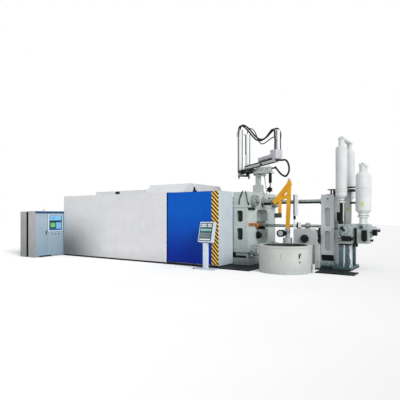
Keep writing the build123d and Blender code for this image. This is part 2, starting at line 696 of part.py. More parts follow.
# Ladler: post with a drive, and a yellow swinging linkage that carries the ladle.
with BuildPart() as ladler_post:
    neck_top = LADLER_PIVOT_Z - LADLER_ARM
    cheek_in = LADLER_ARM_T / 2 + SEAT
    rod((LADLER_X, LADLER_Y, TRAY_T), (LADLER_X, LADLER_Y, TRAY_T + LADLER_FOOT_T), LADLER_FOOT_R)
    rod((LADLER_X, LADLER_Y, TRAY_T), (LADLER_X, LADLER_Y, LADLER_BASE_TOP), LADLER_BASE_R)
    rod((LADLER_X, LADLER_Y, LADLER_BASE_TOP), (LADLER_X, LADLER_Y, neck_top), LADLER_NECK_R)
    for side in (-1, 1):
        cheek_y = (LADLER_Y + side * cheek_in, LADLER_Y + side * (cheek_in + LADLER_CHEEK))
        block(about(LADLER_X, LADLER_ARM / 2), cheek_y, (neck_top, LADLER_PIVOT_Z + LADLER_ARM / 2))
    pin_ends = [(LADLER_X, pin_y, LADLER_PIVOT_Z) for pin_y in about(LADLER_Y, LADLER_ARM_T)]
    rod(pin_ends[0], pin_ends[1], PIN_R)
keep("ladler_post", ladler_post)

with BuildPart() as ladler_drive:
    drive_x = LADLER_X - DRIVE_SHIFT
    drive_y = LADLER_Y - cheek_in - LADLER_CHEEK
    drive_z = LADLER_PIVOT_Z - DRIVE_DROP
    rod((drive_x, drive_y, drive_z), (drive_x, drive_y - DRIVE_L, drive_z), DRIVE_R)
    block((drive_x, LADLER_X), (drive_y - LADLER_CHEEK, drive_y), about(drive_z, DRIVE_R / 2))
keep("ladler_drive", ladler_drive)


def strap(start, end, width):
    """A flat bar with round ends between two places in the plane of the linkage."""
    run = math.hypot(end[0] - start[0], end[1] - start[1])
    lean = math.degrees(math.atan2(end[1] - start[1], end[0] - start[0]))
    middle = Plane.XZ.offset(-LADLER_Y + LADLER_ARM_T / 2)
    with BuildSketch(middle) as outline:
        with Locations(Location((LADLER_X + (start[0] + end[0]) / 2, (start[1] + end[1]) / 2, 0), lean)):
            SlotCenterToCenter(run, width)
    extrude(outline.sketch, amount=-LADLER_ARM_T)


with BuildPart() as ladler_arm:
    strap((0, LADLER_PIVOT_Z), (ARM_LEAN, LADLER_TOP_Z), LADLER_ARM)
    strap((ARM_LEAN, LADLER_TOP_Z - LADLER_ARM / 2), (BOSS_X, BOSS_Z), LADLER_ARM * 5 / 4)
    strap((BOSS_X, BOSS_Z), (ARM_LEAN, ELBOW_Z), LADLER_ARM * 7 / 8)
    strap((LADLE_PIVOT_X, (BOSS_Z + ELBOW_Z) / 2), (LADLE_PIVOT_X, LADLE_PIVOT_Z), LADLER_ARM * 3 / 4)
    rod(pin_ends[0], pin_ends[1], PIN_R + SEAT, mode=Mode.SUBTRACT)
    block(about(LADLER_X + ARM_LEAN, LADLER_ARM / 3), about(LADLER_Y, LADLER_ARM_T / 2),
          (LADLER_TOP_Z, LADLER_TOP_Z + LADLER_ARM))
keep("ladler_arm", ladler_arm)

# Ladle cup, hung on the short link.
with BuildPart() as ladle:
    cup = (LADLER_X + LADLE_PIVOT_X, LADLER_Y - LADLER_ARM_T / 2 - LADLE_R - SEAT)
    rod((cup[0], cup[1], LADLE_PIVOT_Z - LADLE_H), (cup[0], cup[1], LADLE_PIVOT_Z), LADLE_R)
    rod((cup[0], cup[1], LADLE_PIVOT_Z - LADLE_H + LADLE_WALL), (cup[0], cup[1], LADLE_PIVOT_Z + OVERRUN),
        LADLE_R - LADLE_WALL, mode=Mode.SUBTRACT)
    block(about(cup[0], LADLE_WALL * 2), (cup[1] + LADLE_R - LADLE_WALL, cup[1] + LADLE_R + SEAT),
          (LADLE_PIVOT_Z - LADLE_WALL * 3, LADLE_PIVOT_Z))
keep("ladle", ladle)

# Upright probe box beside the arm, on a short bracket from the post.
with BuildPart() as probe_box:
    probe_x = LADLER_X + PROBE_X[0]
    block((probe_x, LADLER_X + PROBE_X[1]), about(PROBE_Y, PROBE_HALF), PROBE_Z)
    block((probe_x, probe_x + LADLER_CHEEK), about(PROBE_Y, LADLER_CHEEK), (TRAY_T, PROBE_Z[0]))
keep("probe_box", probe_box)

# C-frame column of the shot end, a casting with two pockets on each side and a waisted foot.
column_end = COLUMN_X + COLUMN_T
with BuildPart() as shot_column:
    block((COLUMN_X, column_end), about(0, COLUMN_HALF), (RECESS_Z[1], COLUMN_TOP))
    block((COLUMN_X + RECESS_D / 2, column_end), about(0, COLUMN_HALF - RECESS_D), RECESS_Z)
    block((COLUMN_X - COLUMN_FOOT_OUT, column_end), about(0, COLUMN_HALF + COLUMN_FOOT_OUT),
          (TRAY_T, RECESS_Z[0]))
    pocket_x = COLUMN_X + (COLUMN_T - POCKET_W) / 2
    for pocket_z in (POCKET_LOW, POCKET_UP):
        pocket((pocket_x, pocket_x + POCKET_W), pocket_z, POCKET_D, POCKET_R, COLUMN_HALF)
keep("shot_column", shot_column)

# Upper tie rod from the platen to the column, with its flange, sleeve and collar.
with BuildPart() as upper_tie_rod:
    flange_x = PLATEN_T + LEDGE_OUT
    rod((flange_x, 0, ROD_Z), (flange_x + ROD_FLANGE_T, 0, ROD_Z), ROD_FLANGE_R)
    rod((flange_x, 0, ROD_Z), (flange_x + ROD_SLEEVE_L, 0, ROD_Z), ROD_SLEEVE_R)
    rod((flange_x, 0, ROD_Z), (COLUMN_X, 0, ROD_Z), ROD_R)
    rod((COLUMN_X - COLLAR_L, 0, ROD_Z), (COLUMN_X, 0, ROD_Z), COLLAR_R)
keep("upper_tie_rod", upper_tie_rod)

with BuildPart() as plunger_rod:
    rod((PLUNGER_X, 0, BORE_Z), (COLUMN_X, 0, BORE_Z), PLUNGER_R)
    rod((COUPLING_X, 0, BORE_Z), (COUPLING_X + COUPLING_L, 0, BORE_Z), COUPLING_R)
keep("plunger_rod", plunger_rod)

# Shot sleeve through the stationary platen, flanged in the arch.
with BuildPart() as shot_sleeve:
    rod((0, 0, BORE_Z), (PLUNGER_X, 0, BORE_Z), BORE_R - SEAT)
    rod((-OVERRUN, 0, BORE_Z), (PLUNGER_X + OVERRUN, 0, BORE_Z), BORE_R / 2, mode=Mode.SUBTRACT)
keep("shot_sleeve", shot_sleeve)

# Sheet shroud over the plunger's drip pan, with a hand wheel, and the pale lubricator box beside it.
with BuildPart() as shot_shroud:
    with BuildSketch(Plane.XZ.offset(-SHROUD_Y[1])) as profile:
        with Locations(((SHROUD_X[0] + SHROUD_X[1]) / 2, (SHROUD_Z[0] + SHROUD_Z[1]) / 2)):
            Rectangle(SHROUD_X[1] - SHROUD_X[0], SHROUD_Z[1] - SHROUD_Z[0])
        fillet(profile.vertices().group_by(Axis.Y)[-1].sort_by(Axis.X)[-1], SHROUD_R)
        fillet(profile.vertices().group_by(Axis.Y)[-1].sort_by(Axis.X)[0], SHROUD_R / 3)
    extrude(profile.sketch, amount=SHROUD_Y[1] - SHROUD_Y[0])
    for leg_y in (SHROUD_Y[0], SHROUD_Y[1] - SHROUD_T * 2):
        for leg_x in (SHROUD_X[0], SHROUD_X[1] - SHROUD_T * 2):
            block((leg_x, leg_x + SHROUD_T * 2), (leg_y, leg_y + SHROUD_T * 2), (TRAY_T, SHROUD_Z[0]))
    hub_x = (SHROUD_X[0] + SHROUD_X[1]) / 2
    hub_z = SHROUD_Z[0] + SHROUD_WHEEL_R * 3 / 2
    rod((hub_x, SHROUD_Y[0], hub_z), (hub_x, SHROUD_Y[0] - WHEEL_T, hub_z), SHROUD_WHEEL_R)
keep("shot_shroud", shot_shroud)

with BuildPart() as lubricator:
    block(LUBE_X, LUBE_Y, LUBE_Z)
    block((LUBE_X[0] + LADLER_CHEEK, LUBE_X[1]), (LUBE_Y[0] + LADLER_CHEEK, LUBE_Y[1] - LADLER_CHEEK),
          (TRAY_T, LUBE_Z[0]))
keep("lubricator", lubricator)

# Injection cylinder behind the column, the large manifold on it and the smaller valve block at the end.
with BuildPart() as injection_cylinder:
    rod((column_end, 0, BORE_Z), (MANIFOLD_X[0], 0, BORE_Z), CYLINDER_R)
    block((column_end, MANIFOLD_X[0]), about(0, COLUMN_HALF - RECESS_D),
          (MANIFOLD_Z[0] + RECESS_D, BORE_Z - CYLINDER_R / 2))
keep("injection_cylinder", injection_cylinder)

with BuildPart() as manifold_block:
    block(MANIFOLD_X, about(0, MANIFOLD_HALF), MANIFOLD_Z)
    flange_x = MANIFOLD_X[0] + FLANGE_IN
    flange_z = MANIFOLD_Z[1] - FLANGE_IN * 3 / 4
    rod((flange_x, -MANIFOLD_HALF, flange_z), (flange_x, -MANIFOLD_HALF - FLANGE_OUT, flange_z), FLANGE_R)
keep("manifold_block", manifold_block)

with BuildPart() as valve_block:
    block((MANIFOLD_X[1], VALVE_X), VALVE_Y, VALVE_Z)
keep("valve_block", valve_block)

with BuildPart() as valves:
    cartridge_x = (MANIFOLD_X[0] + CARTRIDGE_X[0], MANIFOLD_X[0] + CARTRIDGE_X[1])
    cartridge_z = (MANIFOLD_Z[0] + CARTRIDGE_Z[0], MANIFOLD_Z[0] + CARTRIDGE_Z[1])
    block(cartridge_x, (-MANIFOLD_HALF - FLANGE_OUT, -MANIFOLD_HALF), cartridge_z)
    coil_y = -MANIFOLD_HALF - FLANGE_OUT / 2
    coil_z = (cartridge_z[0] + cartridge_z[1]) / 2
    rod((cartridge_x[1], coil_y, coil_z), (cartridge_x[1] + FLANGE_OUT, coil_y, coil_z), FLANGE_OUT / 2)
    side_valve_x = (MANIFOLD_X[1] + SIDE_VALVE_X[0], MANIFOLD_X[1] + SIDE_VALVE_X[1])
    block(side_valve_x, (VALVE_Y[0] - FLANGE_OUT, VALVE_Y[0]),
          (VALVE_Z[0] + CARTRIDGE_Z[0], VALVE_Z[0] + CARTRIDGE_Z[1] + FLANGE_OUT))
    valve_mid = (VALVE_Y[0] + VALVE_Y[1]) / 2
    rod((VALVE_X, valve_mid, END_VALVE_Z), (VALVE_X + END_VALVE_L, valve_mid, END_VALVE_Z), END_VALVE_R)
    stem_end = VALVE_X + END_VALVE_L * 5 / 3
    rod((VALVE_X, valve_mid, END_VALVE_Z), (stem_end, valve_mid, END_VALVE_Z), END_VALVE_R / 3)
keep("valves", valves)

# Support of the injection unit: two legs on a runner bolted to the tray.
with BuildPart() as injection_support:
    block((column_end, FOOT_END_X), (-MANIFOLD_HALF, MANIFOLD_HALF), (TRAY_T, TRAY_T + RUNNER_H))
    for side in (-1, 1):
        leg_y = side * (MANIFOLD_HALF - LEG_W)
        for leg_x in (LEG_X, LEG_X + LEG_GAP):
            block((leg_x, leg_x + LEG_W), about(leg_y, LEG_W / 2), (TRAY_T + RUNNER_H, MANIFOLD_Z[0]))
keep("injection_support", injection_support)


def bottle(x, y, z, radius):
    """A gas bottle with domed ends, a head with a cap above and a neck below, turned about its axis."""
    dome = radius * DOME_SHARE
    with BuildSketch(Plane.XZ.offset(-y)) as half:
        with BuildLine():
            Line((x, z[0]), (x + radius / 2, z[0]))
            RadiusArc((x + radius / 2, z[0]), (x + radius, z[0] + dome), -radius)
            Line((x + radius, z[0] + dome), (x + radius, z[1] - dome))
            RadiusArc((x + radius, z[1] - dome), (x + radius / 2, z[1]), -radius)
            Line((x + radius / 2, z[1]), (x, z[1]))
            Line((x, z[1]), (x, z[0]))
        make_face()
    revolve(half.sketch, axis=Axis((x, y, 0), (0, 0, 1)))


with BuildPart() as tall_accumulators:
    for y in (-ACC_Y, ACC_Y):
        bottle(ACC_X, y, ACC_Z, ACC_R)
        rod((ACC_X, y, ACC_Z[0]), (ACC_X, y, ACC_Z[0] - ACC_NECK_H), ACC_NECK_R)
        rod((ACC_X, y, ACC_Z[0] - ACC_NECK_H), (ACC_X, y, MANIFOLD_Z[1]), ACC_PIPE_R)
        rod((ACC_X, y, ACC_Z[1]), (ACC_X, y, ACC_Z[1] + ACC_HEAD_H), ACC_HEAD_R)
keep("tall_accumulators", tall_accumulators)

with BuildPart() as short_accumulators:
    for y in SHORT_Y:
        bottle(SHORT_X, y, SHORT_Z, SHORT_R)
        rod((SHORT_X, y, SHORT_Z[0]), (SHORT_X, y, SHORT_Z[0] - ACC_NECK_H), ACC_NECK_R * 5 / 4)
        rod((SHORT_X, y, SHORT_Z[0] - ACC_NECK_H), (SHORT_X, y, VALVE_Z[1]), ACC_NECK_R)
        rod((SHORT_X, y, SHORT_Z[1]), (SHORT_X, y, SHORT_Z[1] + ACC_HEAD_H), ACC_HEAD_R)
keep("short_accumulators", short_accumulators)

with BuildPart() as slim_cylinder:
    rod((SLIM_X, SLIM_Y, MANIFOLD_Z[1]), (SLIM_X, SLIM_Y, SLIM_TOP), SLIM_R)
keep("slim_cylinder", slim_cylinder)

# Steel brackets that tie the heads of each pair of bottles, and the clamp bars that hold them half-way.
with BuildPart() as bottle_brackets:
    for middle_x, ends_y, top in ((ACC_X, (-ACC_Y, ACC_Y), ACC_Z[1]), (SHORT_X, SHORT_Y, SHORT_Z[1])):
        block(about(middle_x, ACC_HEAD_R), (ends_y[0] - ACC_HEAD_R, ends_y[1] + ACC_HEAD_R),
              (top + ACC_HEAD_H, top + ACC_HEAD_H + CLAMP_H))
keep("bottle_brackets", bottle_brackets)

with BuildPart() as clamp_bars:
    ringed = [(ACC_X, -ACC_Y, ACC_R), (SHORT_X, SHORT_Y[0], SHORT_R), (SHORT_X, SHORT_Y[1], SHORT_R)]
    clamp_top = CLAMP_Z + CLAMP_H
    for y in (-ACC_Y, SHORT_Y[1]):
        block((ACC_X, SHORT_X), about(y, CLAMP_H / 2), (CLAMP_Z, clamp_top))
    for x, y, radius in ringed:
        rod((x, y, CLAMP_Z), (x, y, clamp_top), radius + SEAM_RING)
    block((ACC_X, SHORT_X), (-ACC_Y, SHORT_Y[1]), (CLAMP_Z, CLAMP_Z + SEAM_RING))
    for x, y, radius in ringed + [(SLIM_X, SLIM_Y, SLIM_R)]:
        rod((x, y, CLAMP_Z - OVERRUN), (x, y, clamp_top + OVERRUN), radius + SEAT, mode=Mode.SUBTRACT)
keep("clamp_bars", clamp_bars)

# Control cabinet, a hollow steel body whose left door is hinged, with the operating panel beside it.
cab_face = -GUARD_LEN - CAB_CLEAR
cab_back = cab_face - CAB_D
cab_far = CAB_Y + CAB_W
door_edge = CAB_Y + CAB_DOOR_W
band_z = CAB_H - CAB_BAND_H
door_z = (CAB_PLINTH + CAB_GAP, band_z - CAB_GAP)
with BuildPart() as control_cabinet:
    block((cab_back, cab_face - CAB_DOOR_T), (CAB_Y, cab_far), (0, band_z))
    block((cab_back + CAB_WALL, cab_face), (CAB_Y + CAB_WALL, door_edge - CAB_WALL),
          (CAB_PLINTH + CAB_WALL, band_z - CAB_WALL), mode=Mode.SUBTRACT)
    block((cab_face - CAB_DOOR_T, cab_face), (door_edge + CAB_GAP / 2, cab_far), (CAB_PLINTH, band_z))
    block((cab_back, cab_face), (CAB_Y, cab_far), (band_z, CAB_H))
keep("control_cabinet", control_cabinet)

with BuildPart() as cabinet_door:
    block((cab_face - CAB_DOOR_T + SEAT, cab_face), (CAB_Y + CAB_GAP, door_edge - CAB_GAP / 2), door_z)
    handle_y = door_edge - HANDLE_W * 2
    handle_z = (door_z[0] + door_z[1]) / 2
    block((cab_face, cab_face + HANDLE_T), about(handle_y, HANDLE_W / 2), (handle_z, handle_z + HANDLE_H))
    for hinge_z in (door_z[0] + HINGE_H, door_z[1] - 2 * HINGE_H):
        rod((cab_face, CAB_Y, hinge_z), (cab_face, CAB_Y, hinge_z + HINGE_H), HINGE_R)
keep("cabinet_door", cabinet_door)

with BuildPart() as operating_panel:
    block((cab_face, cab_face + HMI_T), (door_edge + HMI_MARGIN, cab_far - HMI_MARGIN * 3), HMI_Z)
keep("operating_panel", operating_panel)

with BuildPart() as second_cabinet:
    second_face = cab_back - CAB_BACK_GAP
    block((second_face - CAB_BACK_D, second_face), (CAB_Y, cab_far), (0, CAB_H - CAB_GAP * 5))
keep("second_cabinet", second_cabinet)

# Operator console: foot plate, square post and a tilted key box.
with BuildPart() as console_stand:
    block(about(CONSOLE_X, CONSOLE_FOOT[0] / 2), about(CONSOLE_Y, CONSOLE_FOOT[1] / 2), (0, CONSOLE_FOOT[2]))
    block(about(CONSOLE_X, CONSOLE_POST / 2), about(CONSOLE_Y, CONSOLE_POST / 2),
          (CONSOLE_FOOT[2], CONSOLE_SPLIT))
keep("console_stand", console_stand)

console_tilted = Plane(origin=(CONSOLE_X, CONSOLE_Y, CONSOLE_SPLIT), x_dir=(1, 0, 0),
                       z_dir=(0, math.sin(math.radians(CONSOLE_TILT)), math.cos(math.radians(CONSOLE_TILT))))
box_drop = CONSOLE_BOX[1] / 2 * math.tan(math.radians(CONSOLE_TILT))
with BuildPart(console_tilted) as console_box:
    block(about(0, CONSOLE_BOX[0] / 2), about(0, CONSOLE_BOX[1] / 2), (box_drop, box_drop + CONSOLE_BOX[2]))
    block(about(0, CONSOLE_BOX[0] / 2 - CONSOLE_BORDER),
          (-CONSOLE_BOX[1] / 2 - CONSOLE_FACE_T, -CONSOLE_BOX[1] / 2),
          (box_drop + CONSOLE_BORDER, box_drop + CONSOLE_BOX[2] - CONSOLE_BORDER))
keep("console_box", console_box)
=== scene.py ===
import math

import bmesh
import bpy
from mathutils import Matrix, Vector


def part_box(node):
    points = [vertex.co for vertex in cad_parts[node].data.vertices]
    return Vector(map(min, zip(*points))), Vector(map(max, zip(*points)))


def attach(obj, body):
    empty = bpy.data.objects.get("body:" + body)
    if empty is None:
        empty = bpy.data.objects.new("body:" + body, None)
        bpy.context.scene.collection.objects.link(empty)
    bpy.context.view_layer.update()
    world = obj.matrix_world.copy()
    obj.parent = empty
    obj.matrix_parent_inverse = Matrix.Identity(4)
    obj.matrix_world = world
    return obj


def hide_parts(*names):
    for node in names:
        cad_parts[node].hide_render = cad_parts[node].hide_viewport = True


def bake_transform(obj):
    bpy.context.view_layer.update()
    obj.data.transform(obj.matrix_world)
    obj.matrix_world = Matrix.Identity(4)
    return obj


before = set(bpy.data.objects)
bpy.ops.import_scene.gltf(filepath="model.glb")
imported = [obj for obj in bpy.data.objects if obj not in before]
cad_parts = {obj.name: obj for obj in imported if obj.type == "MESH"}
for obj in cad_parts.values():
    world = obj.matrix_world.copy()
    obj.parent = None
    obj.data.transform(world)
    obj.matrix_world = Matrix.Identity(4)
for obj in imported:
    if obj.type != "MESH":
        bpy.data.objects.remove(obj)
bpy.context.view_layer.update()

# The viewpoint. A standing person's camera, level, turned toward the operator's corner of the machine, with
# the horizon a little under the middle of the picture.
eye = Vector((6.61, -13.13, 1.70))
sight = Vector((-0.5547, 0.832, 0.0))
lens = bpy.data.cameras.new("view_camera")
lens.lens = 36.0
lens.sensor_width = 36.0
lens.shift_y = 0.0375
camera = bpy.data.objects.new("view_camera", lens)
camera.location = eye
camera.rotation_euler = sight.to_track_quat("-Z", "Y").to_euler()
bpy.context.scene.collection.objects.link(camera)
bpy.context.scene.camera = camera

# The sprayer's black hoses: PA12 corrugated conduit over the air and release-agent lines, pushed on barbed
# fittings. Moulded with a rib about every 16 mm, black and a little waxy. They hang between the end cover
# and the arm.
hose_rib = 0.016
groove_share = 0.14
hose_routes = {
    "left_hose": (0.056, [
        (1.700, -0.170, 3.770), (1.700, -0.170, 3.960), (1.710, -0.166, 4.080), (1.700, -0.186, 4.200),
        (1.690, -0.172, 4.330), (1.590, -0.155, 4.445), (1.430, -0.155, 4.455), (1.270, -0.190, 4.330),
        (1.100, -0.245, 4.215), (0.900, -0.300, 4.180), (0.660, -0.330, 4.255), (0.400, -0.340, 4.410),
        (0.120, -0.330, 4.600), (-0.210, -0.305, 4.800), (-0.560, -0.275, 4.975), (-0.860, -0.262, 5.070),
        (-1.030, -0.262, 5.060), (-1.105, -0.262, 4.970), (-1.105, -0.262, 4.860)]),
    "right_hose": (0.056, [
        (1.720, 0.008, 3.770), (1.720, 0.008, 3.960), (1.710, 0.002, 4.080), (1.720, 0.024, 4.200),
        (1.705, 0.018, 4.340), (1.600, -0.008, 4.480), (1.440, -0.062, 4.495), (1.270, -0.118, 4.375),
        (1.100, -0.175, 4.265), (0.900, -0.230, 4.225), (0.660, -0.262, 4.300), (0.400, -0.272, 4.455),
        (0.130, -0.262, 4.640), (-0.190, -0.238, 4.830), (-0.540, -0.208, 5.000), (-0.850, -0.192, 5.105),
        (-1.035, -0.192, 5.095), (-1.110, -0.192, 4.985), (-1.110, -0.192, 4.860)]),
    "branch_hose": (0.036, [
        (1.650, -0.080, 4.230), (1.500, -0.080, 4.230), (1.300, -0.130, 4.195), (1.090, -0.172, 4.115),
        (0.860, -0.200, 4.085), (0.640, -0.190, 4.160), (0.420, -0.150, 4.320), (0.170, -0.100, 4.500),
        (-0.090, -0.035, 4.690), (-0.390, 0.025, 4.850), (-0.680, 0.058, 4.950), (-0.880, 0.065, 4.985),
        (-1.000, 0.065, 4.925), (-1.000, 0.065, 4.800)]),
    "rear_hose": (0.060, [
        (1.660, -0.080, 3.440), (1.800, -0.080, 3.440), (1.970, -0.080, 3.400), (2.140, -0.080, 3.405),
        (2.290, -0.080, 3.350), (2.405, -0.088, 3.240), (2.475, -0.098, 3.100), (2.470, -0.112, 2.975),
        (2.365, -0.122, 2.895), (2.235, -0.075, 2.880), (2.060, -0.055, 2.906), (1.753, 0.021, 2.990),
        (1.451, 0.095, 3.112), (1.152, 0.171, 3.245), (0.900, 0.240, 3.330), (0.732, 0.370, 3.350),
        (0.589, 0.433, 3.345), (0.490, 0.404, 3.342), (0.4215, 0.3475, 3.342)]),
}
beam_angle = math.radians(-39.5)
beam_axis = Vector((math.cos(beam_angle), math.sin(beam_angle), 0))
beam_cross = Vector((-math.sin(beam_angle), math.cos(beam_angle), 0))
beam_centre = Vector((0.350, -0.050, 0))


def on_beam(along, across, height):
    """A place given along the sprayer's beam, across it and in height, in the machine's own frame."""
    return beam_centre + beam_axis * along + beam_cross * across + Vector((0, 0, height))


def linear(code):
    """An sRGB hex colour as the linear colour that a shader takes."""
    parts = [int(code[place:place + 2], 16) / 255 for place in (1, 3, 5)]
    return [part / 12.92 if part <= 0.04045 else ((part + 0.055) / 1.055) ** 2.4 for part in parts] + [1]


def add(material, kind, settings=None, values=None, links=None):
    """Add one shader node, with its settings, its socket values and what feeds each socket."""
    node = material.node_tree.nodes.new(kind)
    for field, value in (settings or {}).items():
        setattr(node, field, value)
    for socket, value in (values or {}).items():
        node.inputs[socket].default_value = value
    for socket, source in (links or {}).items():
        material.node_tree.links.new(source, node.inputs[socket])
    return node


def new_finish(name):
    """An empty material, ready for its nodes."""
    material = bpy.data.materials.new(name)
    material.use_nodes = True
    material.node_tree.nodes.clear()
    return material


def ramp(node, stops):
    """Set a colour ramp's stops from places and hex colours."""
    points = node.color_ramp.elements
    while len(points) > 1:
        points.remove(points[-1])
    points[0].position, points[0].color = stops[0][0], linear(stops[0][1])
    for place, code in stops[1:]:
        points.new(place).color = linear(code)


def bare_finish(name, stops, grain, shader, stretch=None, gloss=None, crust=None, edge=None):
    """A finish without paint, from its colours, its grain (scale, detail, roughness) and its shader's values.

    The grain may be drawn out along the piece, set a range of gloss, or raise a crust (strength, depth). An
    edge is the radius that the corners read as broken by.
    """
    made = new_finish(name)
    where = add(made, "ShaderNodeTexCoord").outputs["Object"]
    if stretch:
        where = add(made, "ShaderNodeMapping", values={"Scale": stretch},
                    links={"Vector": where}).outputs["Vector"]
    noise = add(made, "ShaderNodeTexNoise", values=dict(zip(("Scale", "Detail", "Roughness"), grain)),
                links={"Vector": where})
    tone = add(made, "ShaderNodeValToRGB", links={"Fac": noise.outputs["Fac"]})
    ramp(tone, stops)
    feeds = {"Base Color": tone.outputs["Color"]}
    if gloss:
        shine = add(made, "ShaderNodeMapRange",
                    values={"From Min": 0.3, "From Max": 0.7, "To Min": gloss[0], "To Max": gloss[1]},
                    links={"Value": noise.outputs["Fac"]})
        feeds["Roughness"] = shine.outputs["Result"]
    if crust:
        relief = add(made, "ShaderNodeBump", values={"Strength": crust[0], "Distance": crust[1]},
                     links={"Height": noise.outputs["Fac"]})
        feeds["Normal"] = relief.outputs["Normal"]
    if edge:
        feeds["Normal"] = add(made, "ShaderNodeBevel", settings={"samples": 4},
                              values={"Radius": edge}).outputs["Normal"]
    metal = add(made, "ShaderNodeBsdfPrincipled", values=shader, links=feeds)
    add(made, "ShaderNodeOutputMaterial", links={"Surface": metal.outputs["BSDF"]})
    return made


def centreline(name, points, diameter):
    """The even points of the smooth line that a hose's route points control."""
    curve = bpy.data.curves.new(name + "_line", "CURVE")
    curve.dimensions = "3D"
    curve.resolution_u = 40
    spline = curve.splines.new("NURBS")
    spline.points.add(len(points) - 1)
    for control, point in zip(spline.points, points):
        control.co = (*point, 1)
    spline.order_u = 3
    spline.use_endpoint_u = True
    holder = bpy.data.objects.new(name + "_line", curve)
    bpy.context.scene.collection.objects.link(holder)
    bpy.context.view_layer.update()
    mesh = bpy.data.meshes.new_from_object(holder.evaluated_get(bpy.context.evaluated_depsgraph_get()))
    dense = [vertex.co.copy() for vertex in mesh.vertices]
    bpy.data.objects.remove(holder)
    bpy.data.meshes.remove(mesh)
    bpy.data.curves.remove(curve)
    even, carried = [dense[0]], 0.0
    for start, end in zip(dense, dense[1:]):
        run = (end - start).length
        while carried + run >= diameter:
            start = start + (end - start) * ((diameter - carried) / run)
            run = (end - start).length
            carried = 0.0
            even.append(start)
        carried += run
    even.append(dense[-1])
    return even


def skin(form, rings):
    """Close a tube over rings of points, with a face at each end."""
    rings = [[form.verts.new(point) for point in ring] for ring in rings]
    for first, second in zip(rings, rings[1:]):
        for step in range(len(first)):
            form.faces.new((first[step], first[step - 1], second[step - 1], second[step]))
    form.faces.new(rings[0])
    form.faces.new(list(reversed(rings[-1])))
    return form


def ring_points(centre, across, other, radius, sides, offset=0.0):
    """Even points on a circle in the plane of two directions, begun at an offset in steps."""
    return [centre + (across * math.cos(turn) + other * math.sin(turn)) * radius
            for turn in [2 * math.pi * (step + offset) / sides for step in range(sides)]]


def ribbed_tube(form, line, radius, rib_share=0.0, sides=12):
    """Sweep rings along a line, each rib a little wider than the groove after it."""
    across = (line[1] - line[0]).normalized().orthogonal().normalized()
    rings = []
    for count, centre in enumerate(line):
        ahead = (line[min(count + 1, len(line) - 1)] - line[max(count - 1, 0)]).normalized()
        across = (across - ahead * across.dot(ahead)).normalized()
        reach = radius * (1 - rib_share * (count % 2))
        rings.append(ring_points(centre, across, ahead.cross(across), reach, sides))
    return skin(form, rings)


def piece(name, form, material, body="machine", bevel=0.0, smooth=35):
    """Finish a mesh as a piece that rides on a body, with its edges broken by a small bevel."""
    mesh = bpy.data.meshes.new(name)
    bmesh.ops.recalc_face_normals(form, faces=form.faces)
    form.to_mesh(mesh)
    form.free()
    mesh.materials.append(material)
    built = bpy.data.objects.new(name, mesh)
    bpy.context.scene.collection.objects.link(built)
    if bevel:
        edge = built.modifiers.new("broken_edges", "BEVEL")
        edge.width = bevel
        edge.segments = 2
        edge.limit_method = "ANGLE"
        edge.angle_limit = math.radians(35)
    mesh.shade_smooth()
    mesh.set_sharp_from_angle(angle=math.radians(smooth))
    if body:
        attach(built, body)
    return built


# Nylon conduit gives a dark, hardly glossy surface, with dust caught between its ribs.
conduit = bare_finish("corrugated_nylon_conduit", [(0.35, "#08090a"), (0.7, "#191a1c")], (9.0, 6.0),
                      {"Roughness": 0.5, "IOR": 1.53, "Specular IOR Level": 0.25})
for hose_name, (hose_diameter, hose_points) in hose_routes.items():
    line = centreline(hose_name, [on_beam(*point) for point in hose_points], hose_rib / 2)
    form = ribbed_tube(bmesh.new(), line, hose_diameter / 2, groove_share, sides=16)
    if hose_name == "rear_hose":
        tube = piece(hose_name, form, conduit, smooth=60)
        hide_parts("rear_hose")
    else:
        tube = piece(hose_name, form, conduit, body=None, smooth=60)
        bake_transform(tube)
        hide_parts("upper_hoses")

# Floor tray, bed and plinth: welded mild steel plate, painted a very dark green-black that hides oil. The
# tray catches die lubricant, the bed is bolted through it to the floor.


